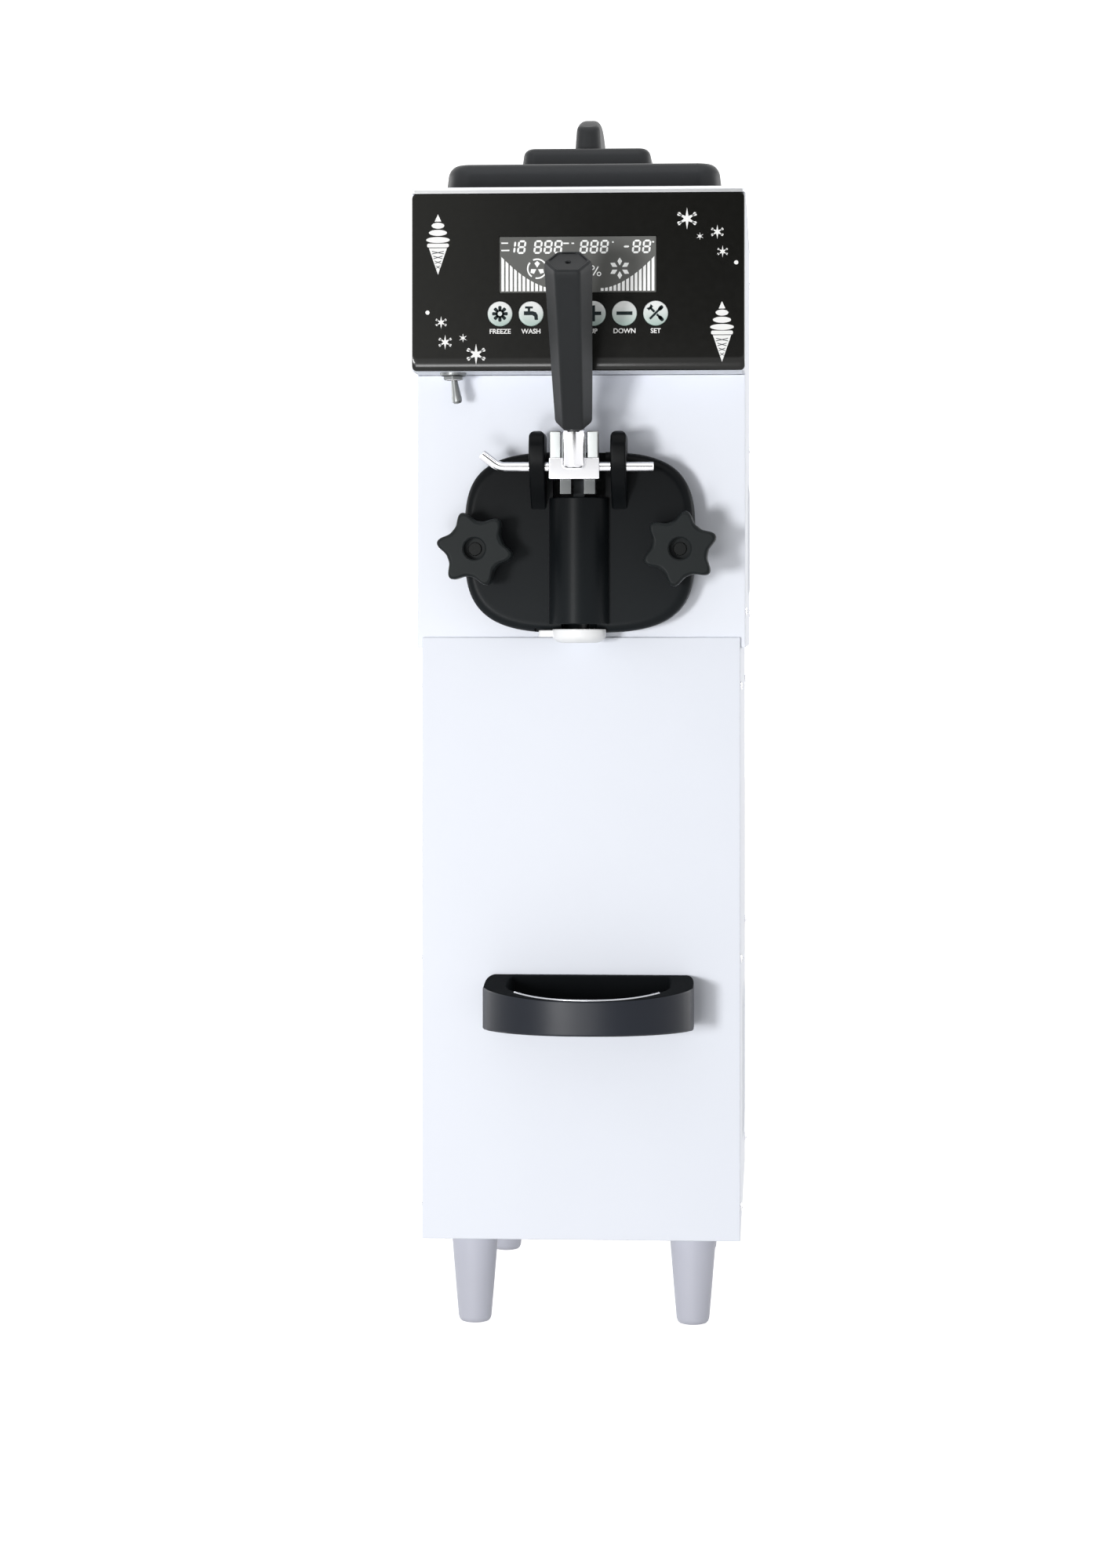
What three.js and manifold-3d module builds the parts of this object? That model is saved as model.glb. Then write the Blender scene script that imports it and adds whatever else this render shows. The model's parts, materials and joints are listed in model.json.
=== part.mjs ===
// Floor-standing single-flavour soft-serve ice cream maker.
// Millimetres, +Z up, front towards -Y, origin on the floor under the middle of the machine.
import * as THREE from 'three';
import { mergeVertices } from 'three/addons/utils/BufferGeometryUtils.js';
import Module from 'manifold-3d';

const wasm = await Module();
wasm.setup();

// ---- driving dimensions ----
const FRONT = -146.2; // front face of the upper body
const REAR = 298.8; // back face of the machine
const SHEET = 2; // sheet metal of the casing
const GAP = 0.3; // clearance between neighbouring pieces

const LEG_HEIGHT = 74.5;
const LEG_X = 89;
const LEG_INSET = 45; // leg axis from the front and rear faces
const CABINET_HALF = 128; // lower cabinet
const CABINET_TOP = 559;
const BODY_HALF = 132; // upper body
const BODY_BOTTOM = 550.8;
const POST_HALF = 125; // outer faces of the corner posts
const HEAD_FRONT = FRONT - 50; // front of the control head
const HEAD_BOTTOM = 770.4;
const DECK_BOTTOM = 911;
const DECK_TOP = 916;

const CYLINDER_Z = 629; // axis of the freezing cylinder, beater and door studs
const CYLINDER_BACK = FRONT + 225;
const BARREL_INNER = 48;
const BARREL_OUTER = 52;
const FLANGE_RADIUS = 66;
const JACKET_RADIUS = 74;
const STUD_X = 81;
const STUD_RADIUS = 5;
const KNOB_RADIUS = 25.5; // mean radius of a star knob, and the height of its lobes
const KNOB_LOBE = 3.9;

const DOOR_Z = 634.9;
const DOOR_HALF_X = 92;
const DOOR_HALF_Z = 72.3;
const DOOR_POWER = { upper: 3.5, lower: 3.3 }; // squareness of the door's rounded outline
const DOOR_FRONT = FRONT - 30;
const VALVE_Y = FRONT - 28; // axis of the draw valve and nozzle
const BOSS_RADIUS = 23.9;
const BOSS_BOTTOM = 566;
const BOSS_TOP = 670.2;
const BORE_RADIUS = 14.4;
const PLUNGER_RADIUS = 14;
const PLUNGER_TOP = 657;
const PIVOT_Y = FRONT - 48; // axis of the draw handle's pin
const PIVOT_Z = 694;
const PIN_RADIUS = 4;
const HANDLE_X = -2.5; // middle of the handle, resting off centre between the door's ears
const GRIP = { bottomY: -62, bottomZ: 727, topY: -144, topZ: 848 }; // ends of the grip's axis, y from FRONT

const DISPLAY_Z = 854.3;
const DISPLAY_HALF_X = 62.1;
const DISPLAY_HALF_Z = 22.2;
const BUTTON_Z = 815.4;
const BUTTON_PITCH = 24.66;
const BUTTON_RADIUS = 9.7;
const BUTTON_NAMES = ['freeze', 'wash', 'auto', 'up', 'down', 'set'];
const TOGGLE_X = -101;
const TOGGLE_Y = FRONT - 25;

const HOPPER_Y = FRONT + 165; // middle of the hopper and lid
const HOPPER_HALF_X = 88;
const HOPPER_HALF_Y = 120;
const HOPPER_FLOOR = 790;
const LID_HALF_X = 111.6;
const LID_HALF_Y = 136;
const FEED_Y = FRONT + 75;

const TRAY_X = 8;
const TRAY_HALF_X = 83.5;
const TRAY_FRONT = FRONT - 98;
const TRAY_BOTTOM = 248;
const TRAY_TOP = 288.4;
const TRAY_WALL = { side: 18, back: 7, front: 5 };
const PEG_X = 40; // the tray's pegs either side of its middle
const PEG_Z = 270;
const PEG_RADIUS = 4;

const DRIVE_Y = REAR - 62; // middle of the belt drive
const MOTOR_Z = 470;
const GEARBOX_PULLEY = 60;
const MOTOR_PULLEY = 30;
const FAN_Z = 205;
const REAR_PANEL_BOTTOM = 118;
const INLET_X = 75;
const INLET_Z = 97.8;

// Ventilation slots: how many, their pitch, width and height limits.
const LOWER_SIDE_SLOTS = { count: 9, pitch: 16, width: 6, middle: 133, z: [130, 250] };
const UPPER_SIDE_SLOTS = { count: 8, pitch: 14, width: 5, middle: 202.5, z: [600, 690] };
const LOWER_REAR_SLOTS = { count: 11, pitch: 17, width: 6, middle: 0, z: [132, 300] };
const UPPER_REAR_SLOTS = { count: 9, pitch: 17, width: 6, middle: 0, z: [600, 690] };

// ---- finishes ----
const FINISHES = {
  white_paint: [0xf1f3fa, 0.35, 0.0],
  brushed_steel: [0xb9bbc0, 0.35, 1.0],
  polished_steel: [0xdadbdf, 0.12, 1.0],
  gloss_black: [0x2a2b28, 0.12, 0.0],
  satin_black: [0x24282c, 0.35, 0.0],
  charcoal: [0x3a3b3e, 0.55, 0.0],
  display: [0x73746f, 0.2, 0.0],
  button_grey: [0xc9cec8, 0.35, 0.0],
  white_plastic: [0xf2f4f6, 0.4, 0.0],
  leg_grey: [0xc5c7d3, 0.4, 0.0],
  zinc: [0x9a9ca0, 0.45, 0.8],
  foam: [0xd8cf9c, 0.9, 0.0],
  rubber: [0x18191a, 0.8, 0.0],
  board_green: [0x1f5a3a, 0.5, 0.0],
  cast_grey: [0x6d7075, 0.6, 0.4],
  enamel_black: [0x1b1c1e, 0.45, 0.1],
  fin_aluminium: [0xb9bcc0, 0.5, 0.8],
};

const machine = new THREE.Group();

function add(name, geometry, finish) {
  const [color, roughness, metalness] = FINISHES[finish];
  const material = new THREE.MeshStandardMaterial({ color, roughness, metalness });
  const mesh = new THREE.Mesh(geometry, material);
  mesh.name = name;
  machine.add(mesh);
  return mesh;
}

// ---- solids ----
function toSolid(geometry) {
  const bare = geometry.clone();
  bare.deleteAttribute('normal');
  bare.deleteAttribute('uv');
  const merged = mergeVertices(bare, 1e-4);
  const vertProperties = new Float32Array(merged.attributes.position.array);
  const triVerts = new Uint32Array(merged.index.array);
  return new wasm.Manifold(new wasm.Mesh({ numProp: 3, vertProperties, triVerts }));
}

function toGeometry(solid) {
  const mesh = solid.getMesh();
  const geometry = new THREE.BufferGeometry();
  geometry.setAttribute('position', new THREE.BufferAttribute(new Float32Array(mesh.vertProperties), 3));
  geometry.setIndex(new THREE.BufferAttribute(new Uint32Array(mesh.triVerts), 1));
  geometry.computeVertexNormals();
  return geometry;
}

const join = (...pieces) => toGeometry(pieces.map(toSolid).reduce((sum, next) => sum.add(next)));
const cut = (piece, ...tools) =>
  toGeometry(tools.map(toSolid).reduce((rest, tool) => rest.subtract(tool), toSolid(piece)));

// A block from its low and high limits along each axis.
function block([x0, x1], [y0, y1], [z0, z1]) {
  const geometry = new THREE.BoxGeometry(x1 - x0, y1 - y0, z1 - z0);
  return geometry.translate((x0 + x1) / 2, (y0 + y1) / 2, (z0 + z1) / 2);
}

// Turned pieces about an axis along X, Y or Z; the profile is [distance along the axis, radius] pairs.
function turned(axis, [cx, cy, cz], profile, sides = 24) {
  const points = profile.map(([along, radius]) => new THREE.Vector2(radius, along));
  const geometry = new THREE.LatheGeometry(points, sides);
  if (axis === 'x') geometry.rotateZ(-Math.PI / 2);
  if (axis === 'z') geometry.rotateX(Math.PI / 2);
  return geometry.translate(cx, cy, cz);
}

// A plain round bar between two stations on its axis.
function rod(axis, centre, [from, to], radius, sides = 24) {
  return turned(axis, centre, [[from, 0], [from, radius], [to, radius], [to, 0]], sides);
}

// A ring between two stations on its axis.
function ring(axis, centre, [from, to], inner, outer, sides = 32) {
  const profile = [[from, inner], [from, outer], [to, outer], [to, inner], [from, inner]];
  return turned(axis, centre, profile, sides);
}

const outline = (points) => new THREE.Shape(points.map(([u, v]) => new THREE.Vector2(u, v)));

// Plates extruded along one axis: their outline is drawn in the two other axes.
function plateAlongZ(shape, [z0, z1], curveSegments = 6) {
  const geometry = new THREE.ExtrudeGeometry(shape, { depth: z1 - z0, bevelEnabled: false, curveSegments });
  return geometry.translate(0, 0, z0);
}

function plateAlongY(shape, [y0, y1], curveSegments = 6) {
  const geometry = new THREE.ExtrudeGeometry(shape, { depth: y1 - y0, bevelEnabled: false, curveSegments });
  return geometry.rotateX(Math.PI / 2).translate(0, y1, 0);
}

function plateAlongX(shape, [x0, x1], curveSegments = 6) {
  const geometry = new THREE.ExtrudeGeometry(shape, { depth: x1 - x0, bevelEnabled: false, curveSegments });
  const basis = new THREE.Matrix4().set(0, 0, 1, 0, 1, 0, 0, 0, 0, 1, 0, 0, 0, 0, 0, 1);
  return geometry.applyMatrix4(basis).translate(x0, 0, 0);
}

function roundedRectangle([u0, u1], [v0, v1], radius) {
  const shape = new THREE.Shape();
  shape.moveTo(u0 + radius, v0);
  shape.lineTo(u1 - radius, v0).absarc(u1 - radius, v0 + radius, radius, -Math.PI / 2, 0);
  shape.lineTo(u1, v1 - radius).absarc(u1 - radius, v1 - radius, radius, 0, Math.PI / 2);
  shape.lineTo(u0 + radius, v1).absarc(u0 + radius, v1 - radius, radius, Math.PI / 2, Math.PI);
  shape.lineTo(u0, v0 + radius).absarc(u0 + radius, v0 + radius, radius, Math.PI, 1.5 * Math.PI);
  return shape;
}

// A tapered solid between two like outlines at different heights.
function loft(lower, upper, z0, z1) {
  const count = lower.length;
  const position = [];
  const face = (a, b, c) => position.push(...a, ...b, ...c);
  const low = lower.map(([x, y]) => [x, y, z0]);
  const high = upper.map(([x, y]) => [x, y, z1]);
  for (let i = 0; i < count; i += 1) {
    const j = (i + 1) % count;
    face(low[i], low[j], high[j]);
    face(low[i], high[j], high[i]);
    if (i > 0 && j > 0) face(low[0], low[j], low[i]);
    if (i > 0 && j > 0) face(high[0], high[i], high[j]);
  }
  const geometry = new THREE.BufferGeometry();
  geometry.setAttribute('position', new THREE.Float32BufferAttribute(position, 3));
  return mergeVertices(geometry, 1e-4);
}

const corners = (halfX, halfY, cy, radius) =>
  roundedRectangle([-halfX, halfX], [cy - halfY, cy + halfY], radius)
    .extractPoints(3).shape.slice(0, -1).map((p) => [p.x, p.y]);

// Stations of a row, spaced evenly about zero.
const row = (count, pitch) => Array.from({ length: count }, (_, i) => (i - (count - 1) / 2) * pitch);

// Upright ventilation slots through a sheet that faces along X or Y.
function slots({ count, pitch, width, middle, z }, axis, across) {
  return row(count, pitch).map((offset) => {
    const along = [middle + offset - width / 2, middle + offset + width / 2];
    return axis === 'x' ? block(across, along, z) : block(along, across, z);
  });
}

// The span from a to b on one side of the middle plane, lower end first.
const sideSpan = (side, a, b) => [side * a, side * b].sort((low, high) => low - high);

// ---- base and frame ----
function buildLegs() {
  const profile = [[0, 0], [0, 10.5], [3.5, 13.4], [LEG_HEIGHT, 19],
    [LEG_HEIGHT, STUD_RADIUS], [LEG_HEIGHT + 3.7, STUD_RADIUS], [LEG_HEIGHT + 3.7, 0]];
  for (const [depth, y] of [['front', FRONT + LEG_INSET], ['rear', REAR - LEG_INSET]]) {
    for (const [side, x] of [['left', -LEG_X], ['right', LEG_X]]) {
      add(`leg_${depth}_${side}`, turned('z', [x, y, 0], profile, 18), 'leg_grey');
    }
  }
}

function buildBasePan() {
  const pan = block([-POST_HALF, POST_HALF], [FRONT, REAR - SHEET], [LEG_HEIGHT, LEG_HEIGHT + 4]);
  const holes = [FRONT + LEG_INSET, REAR - LEG_INSET].flatMap((y) =>
    [-LEG_X, LEG_X].map((x) => rod('z', [x, y, 0], [60, 100], STUD_RADIUS + GAP, 12)));
  add('base_pan', cut(pan, ...holes), 'zinc');
}

function buildPosts() {
  const width = 20;
  for (const [depth, yOut, yIn] of [['front', FRONT + 9, 1], ['rear', REAR - 3, -1]]) {
    for (const [side, sign] of [['left', -1], ['right', 1]]) {
      const at = (u, v) => [sign * (POST_HALF - u), yOut + yIn * v];
      const points = [at(0, 0), at(width, 0), at(width, 2.5), at(2.5, 2.5), at(2.5, width), at(0, width)];
      add(`post_${depth}_${side}`, plateAlongZ(outline(points), [LEG_HEIGHT + 4, 909]), 'zinc');
    }
  }
}

// ---- casing ----
function buildLowerPanels() {
  const front = block([-CABINET_HALF, CABINET_HALF], [FRONT - 3, FRONT], [LEG_HEIGHT, CABINET_TOP]);
  const pegHoles = [-PEG_X, PEG_X].map((x) =>
    rod('y', [TRAY_X + x, FRONT, PEG_Z], [-4, 1], PEG_RADIUS + 0.4, 12));
  add('lower_front_panel', cut(front, ...pegHoles), 'white_paint');
  const notch = FRONT + SHEET + GAP;
  const side = outline([[FRONT, LEG_HEIGHT], [REAR - SHEET, LEG_HEIGHT], [REAR - SHEET, 556],
    [notch, 556], [notch, BODY_BOTTOM - GAP], [FRONT, BODY_BOTTOM - GAP]]);
  for (const [name, x0] of [['lower_left_panel', -CABINET_HALF], ['lower_right_panel', POST_HALF]]) {
    const louvres = slots(LOWER_SIDE_SLOTS, 'x', [x0 - 1, x0 + 4]);
    add(name, cut(plateAlongX(side, [x0, x0 + 3]), ...louvres), 'white_paint');
  }
}

function buildUpperCovers() {
  const backY = REAR - SHEET;
  const side = outline([[FRONT + SHEET, BODY_BOTTOM], [backY, BODY_BOTTOM], [backY, DECK_BOTTOM],
    [HEAD_FRONT + 4, DECK_BOTTOM], [HEAD_FRONT + 4, HEAD_BOTTOM], [FRONT + SHEET, HEAD_BOTTOM]]);
  for (const [name, x0] of [['upper_left_cover', -BODY_HALF], ['upper_right_cover', BODY_HALF - SHEET]]) {
    const louvres = slots(UPPER_SIDE_SLOTS, 'x', [x0 - 1, x0 + 3]);
    add(name, cut(plateAlongX(side, [x0, x0 + SHEET]), ...louvres), 'white_paint');
  }
  const front = block([-BODY_HALF, BODY_HALF], [FRONT, FRONT + SHEET], [BODY_BOTTOM, HEAD_BOTTOM - GAP]);
  const mouth = rod('y', [0, FRONT, CYLINDER_Z], [-3, 5], FLANGE_RADIUS + 0.7, 28);
  const studHoles = [-STUD_X, STUD_X].map((x) =>
    rod('y', [x, FRONT, CYLINDER_Z], [-3, 5], STUD_RADIUS + GAP, 12));
  add('upper_front_panel', cut(front, mouth, ...studHoles), 'white_paint');
}

function buildRearPanel() {
  const half = BODY_HALF;
  const low = CABINET_HALF;
  const foot = REAR_PANEL_BOTTOM;
  const shape = outline([[-low, foot], [low, foot], [low, BODY_BOTTOM], [half, BODY_BOTTOM],
    [half, DECK_BOTTOM], [-half, DECK_BOTTOM], [-half, BODY_BOTTOM], [-low, BODY_BOTTOM]]);
  const through = [REAR - 4, REAR + 2];
  const lowSlots = slots(LOWER_REAR_SLOTS, 'y', through);
  const highSlots = slots(UPPER_REAR_SLOTS, 'y', through);
  const panel = plateAlongY(shape, [REAR - SHEET, REAR]);
  add('rear_panel', cut(panel, ...lowSlots, ...highSlots), 'white_paint');
}

function buildDeck() {
  const half = BODY_HALF + 0.5;
  const front = HEAD_FRONT - 0.5;
  const plate = plateAlongZ(roundedRectangle([-half, half], [front, REAR], 3), [DECK_BOTTOM, DECK_TOP]);
  const under = block([-half + 2, half - 2], [front + 2, REAR - 2], [DECK_BOTTOM - 1, DECK_TOP - 1.5]);
  const opening = block([-HOPPER_HALF_X - 2, HOPPER_HALF_X + 2],
    [HOPPER_Y - HOPPER_HALF_Y - 2, HOPPER_Y + HOPPER_HALF_Y + 2], [DECK_BOTTOM, DECK_TOP + 1]);
  add('top_deck', cut(plate, under, opening), 'brushed_steel');
}

// ---- control head ----
const buttonX = (index) => (index - (BUTTON_NAMES.length - 1) / 2) * BUTTON_PITCH;
const buttonHoles = (radius, span) =>
  BUTTON_NAMES.map((_, i) => rod('y', [buttonX(i), HEAD_FRONT, BUTTON_Z], span, radius, 12));

function displayWindow(margin, [y0, y1]) {
  const half = DISPLAY_HALF_X + margin;
  const tall = DISPLAY_HALF_Z + margin;
  return block([-half, half], [HEAD_FRONT + y0, HEAD_FRONT + y1], [DISPLAY_Z - tall, DISPLAY_Z + tall]);
}

function buildHeadCasing() {
  const inner = BODY_HALF - SHEET;
  const floorPlate = block([-inner, inner], [HEAD_FRONT + 4, FRONT], [HEAD_BOTTOM, HEAD_BOTTOM + 2]);
  const facePlate = block([-inner, inner], [HEAD_FRONT + 4, HEAD_FRONT + 6], [HEAD_BOTTOM, DECK_BOTTOM]);
  const bush = rod('z', [TOGGLE_X, TOGGLE_Y, HEAD_BOTTOM], [-2, 4], 6.5, 12);
  const shell = join(floorPlate, facePlate);
  const window = displayWindow(1, [3, 7]);
  add('head_casing', cut(shell, window, bush, ...buttonHoles(BUTTON_RADIUS + 1, [3, 7])), 'white_paint');
}

function buildFascia() {
  const face = roundedRectangle([-BODY_HALF, BODY_HALF], [HEAD_BOTTOM, DECK_BOTTOM], 3.8);
  const plate = plateAlongY(face, [HEAD_FRONT, HEAD_FRONT + 4], 3);
  const holes = buttonHoles(BUTTON_RADIUS + GAP, [-1, 5]);
  add('control_fascia', cut(plate, displayWindow(0.2, [-1, 5]), ...holes), 'gloss_black');
  add('display_module', displayWindow(0, [0.4, 9]), 'display');
}

function buildControlBoard() {
  const board = block([-76, 76], [HEAD_FRONT + 14, HEAD_FRONT + 15.6], [798, 897]);
  const spacer = ([x, z]) => rod('y', [x, HEAD_FRONT, z], [6, 14.5], 3, 8);
  const spacers = [[-73, 802], [73, 802], [-73, 893], [73, 893]].map(spacer);
  add('control_board', join(board, ...spacers), 'board_green');
}

function buildButtons() {
  const profile = [[-1.5, 0], [-1.5, BUTTON_RADIUS - 0.5], [10, BUTTON_RADIUS - 0.5], [10, 0]];
  BUTTON_NAMES.forEach((name, i) => {
    add(`button_${name}`, turned('y', [buttonX(i), HEAD_FRONT, BUTTON_Z], profile, 14), 'button_grey');
  });
}

function buildToggle() {
  const at = [TOGGLE_X, TOGGLE_Y, HEAD_BOTTOM];
  const housing = block([TOGGLE_X - 9, TOGGLE_X + 9], [TOGGLE_Y - 7, TOGGLE_Y + 7],
    [HEAD_BOTTOM + 2, HEAD_BOTTOM + 22]);
  const bushing = rod('z', at, [-6, 3], 6, 12);
  const washer = rod('z', at, [-2.4, 0], 9.8, 14);
  const nut = rod('z', at, [-5.4, -2], 7.4, 6);
  const bore = rod('z', at, [-9, 4], 4.5, 10);
  add('toggle_switch', cut(join(housing, bushing, washer, nut), bore), 'polished_steel');
  const lever = [[-25, 0], [-24.6, 2.4], [-22, 3.6], [-17, 3.3], [-4, 1.9], [-2.5, 3.2],
    [0.5, 3.2], [1.5, 0]];
  const geometry = turned('z', [0, 0, 0], lever, 10).rotateY(-THREE.MathUtils.degToRad(8));
  add('toggle_lever', geometry.translate(...at), 'polished_steel');
}

// ---- hopper and lid ----
function buildHopper() {
  const wall = 1.5;
  const y0 = HOPPER_Y - HOPPER_HALF_Y;
  const y1 = HOPPER_Y + HOPPER_HALF_Y;
  const x = HOPPER_HALF_X;
  const tub = block([-x - wall, x + wall], [y0 - wall, y1 + wall], [HOPPER_FLOOR - wall, DECK_TOP + 1]);
  const rim = block([-x - 12, x + 12], [y0 - 12, y1 + 12], [DECK_TOP, DECK_TOP + 1.5]);
  const inside = block([-x, x], [y0, y1], [HOPPER_FLOOR, DECK_TOP + 5]);
  const drain = rod('z', [0, FEED_Y, HOPPER_FLOOR], [-5, 5], 9.5, 14);
  add('hopper', cut(join(tub, rim), inside, drain), 'brushed_steel');
}

function buildFeedTube() {
  const z = CYLINDER_Z + BARREL_OUTER;
  const top = HOPPER_FLOOR + 60;
  const profile = [[z - 3, 6], [z - 3, 9], [HOPPER_FLOOR, 9], [HOPPER_FLOOR, 13], [HOPPER_FLOOR + 3, 13],
    [HOPPER_FLOOR + 3, 8], [top, 8], [top, 6], [z - 3, 6]];
  add('feed_tube', turned('z', [0, FEED_Y, 0], profile, 14), 'white_plastic');
}

function buildLid() {
  const bottom = DECK_TOP + 1.8;
  const top = 945;
  const stepTop = 963;
  const gripTop = 996;
  const chamfer = 8;
  const skirt = plateAlongZ(roundedRectangle([-LID_HALF_X, LID_HALF_X],
    [HOPPER_Y - LID_HALF_Y, HOPPER_Y + LID_HALF_Y], 18), [bottom, top - chamfer], 3);
  const lower = roundedRectangle([-LID_HALF_X, LID_HALF_X], [-LID_HALF_Y, LID_HALF_Y], 18);
  const points = (inset) => lower.extractPoints(3).shape.slice(0, -1).map((p) => {
    const u = p.x * (1 - inset / LID_HALF_X);
    const v = p.y * (1 - inset / LID_HALF_Y);
    return [u, HOPPER_Y + v];
  });
  const shoulder = loft(points(0), points(5), top - chamfer - 0.01, top);
  const step = loft(corners(51, 80, HOPPER_Y, 12), corners(45, 74, HOPPER_Y, 10), top - 1, stepTop);
  const inner = LID_HALF_X - 4;
  const hollow = block([-inner, inner], [HOPPER_Y - LID_HALF_Y + 4, HOPPER_Y + LID_HALF_Y - 4],
    [bottom - 1, top - 10]);
  const recess = block([-40, 40], [HOPPER_Y - 68, HOPPER_Y + 68], [bottom, stepTop - 4]);
  add('hopper_lid', cut(join(skirt, shoulder, step), hollow, recess), 'charcoal');
  const fin = loft(corners(10.8, 55, HOPPER_Y, 8), corners(8.5, 50, HOPPER_Y, 7), stepTop, gripTop);
  const arch = outline([[-60, -13], [-36, -5], [-12, 0], [12, 0], [36, -5], [60, -13], [60, 9], [-60, 9]]
    .map(([u, v]) => [HOPPER_Y + u, gripTop + v]));
  add('lid_grip', cut(fin, plateAlongX(arch, [-20, 20])), 'charcoal');
}

// ---- freezing cylinder and drive ----
function buildCylinder() {
  const centre = [0, 0, CYLINDER_Z];
  const back = CYLINDER_BACK;
  const profile = [[FRONT, BARREL_INNER], [FRONT, FLANGE_RADIUS], [FRONT + 7, FLANGE_RADIUS],
    [FRONT + 7, BARREL_OUTER], [back, BARREL_OUTER], [back, 16], [back - 6, 16],
    [back - 6, BARREL_INNER], [FRONT, BARREL_INNER]];
  const barrel = turned('y', centre, profile, 28);
  const inlet = rod('z', [0, FEED_Y, 0], [CYLINDER_Z + 30, CYLINDER_Z + 70], 9.6, 14);
  add('freezing_cylinder', cut(barrel, inlet), 'brushed_steel');
  const jacket = ring('y', centre, [FRONT + 8, back - 1], BARREL_OUTER + 0.6, JACKET_RADIUS, 24);
  const throat = rod('z', [0, FEED_Y, 0], [CYLINDER_Z + 30, CYLINDER_Z + 100], 10, 12);
  add('insulation_jacket', cut(jacket, throat), 'foam');
  add('rear_bearing', ring('y', centre, [back - 5.5, back + 10], 9.6, 15.6, 20), 'brushed_steel');
}

function buildBeater() {
  const radius = 42;
  const turns = 2;
  const length = 170;
  const start = FRONT + 12;
  const helix = new THREE.Curve();
  helix.getPoint = (t, target = new THREE.Vector3()) => {
    const angle = 2 * Math.PI * turns * t;
    return target.set(radius * Math.cos(angle), start + length * t, CYLINDER_Z + radius * Math.sin(angle));
  };
  const blade = new THREE.ExtrudeGeometry(outline([[-2.5, -3], [2.5, -3], [2.5, 3], [-2.5, 3]]),
    { steps: 32, bevelEnabled: false, extrudePath: helix });
  const shaft = rod('y', [0, 0, CYLINDER_Z], [start - 6, CYLINDER_BACK + 25], 9, 14);
  const arms = [0, 0.25, 0.5, 0.75, 1].map((t) => {
    const arm = rod('x', [0, 0, 0], [0, radius], 3.2, 6);
    arm.rotateY(-2 * Math.PI * turns * t).translate(0, start + length * t, CYLINDER_Z);
    return arm;
  });
  add('beater', join(shaft, blade, ...arms), 'polished_steel');
}

function buildDrive() {
  const back = CYLINDER_BACK;
  const housing = block([-55, 55], [back + 30, DRIVE_Y - 22], [CYLINDER_Z - 55, CYLINDER_Z + 55]);
  const reach = POST_HALF - 3;
  const bracket = block([-reach, reach], [back + 30, back + 36], [CYLINDER_Z - 70, CYLINDER_Z + 40]);
  add('gearbox', join(housing, bracket), 'cast_grey');
  add('gearbox_pulley', rod('y', [0, DRIVE_Y, CYLINDER_Z], [-10, 10], GEARBOX_PULLEY, 24), 'cast_grey');
  add('motor_pulley', rod('y', [0, DRIVE_Y, MOTOR_Z], [-10, 10], MOTOR_PULLEY, 18), 'cast_grey');
  buildBelt();
  const y0 = DRIVE_Y - 160;
  const can = rod('y', [0, 0, MOTOR_Z], [y0, DRIVE_Y - 24], 52, 22);
  const foot = block([-50, 50], [y0 + 15, DRIVE_Y - 45], [MOTOR_Z - 62, MOTOR_Z - 30]);
  add('beater_motor', join(can, foot), 'enamel_black');
  const span = POST_HALF - 0.5;
  const shelf = block([-span, span], [y0 - 5, REAR - 27], [MOTOR_Z - 66, MOTOR_Z - 62]);
  add('motor_shelf', shelf, 'zinc');
}

// An open belt round two pulleys, as the gap between two racetrack outlines.
function buildBelt() {
  const rise = CYLINDER_Z - MOTOR_Z;
  const lean = Math.acos((GEARBOX_PULLEY - MOTOR_PULLEY) / rise);
  const track = (margin) => {
    const points = [];
    const steps = 12;
    const arc = (z, radius, from, to) => {
      for (let i = 0; i <= steps; i += 1) {
        const angle = from + ((to - from) * i) / steps;
        points.push([(radius + margin) * Math.cos(angle), z + (radius + margin) * Math.sin(angle)]);
      }
    };
    const down = -Math.PI / 2;
    arc(CYLINDER_Z, GEARBOX_PULLEY, down + lean, down - lean + 2 * Math.PI);
    arc(MOTOR_Z, MOTOR_PULLEY, down - lean, down + lean);
    return outline(points);
  };
  const span = [DRIVE_Y - 6, DRIVE_Y + 6];
  const belt = cut(plateAlongY(track(4.5), span), plateAlongY(track(0.9), [span[0] - 1, span[1] + 1]));
  add('drive_belt', belt, 'rubber');
}

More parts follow.
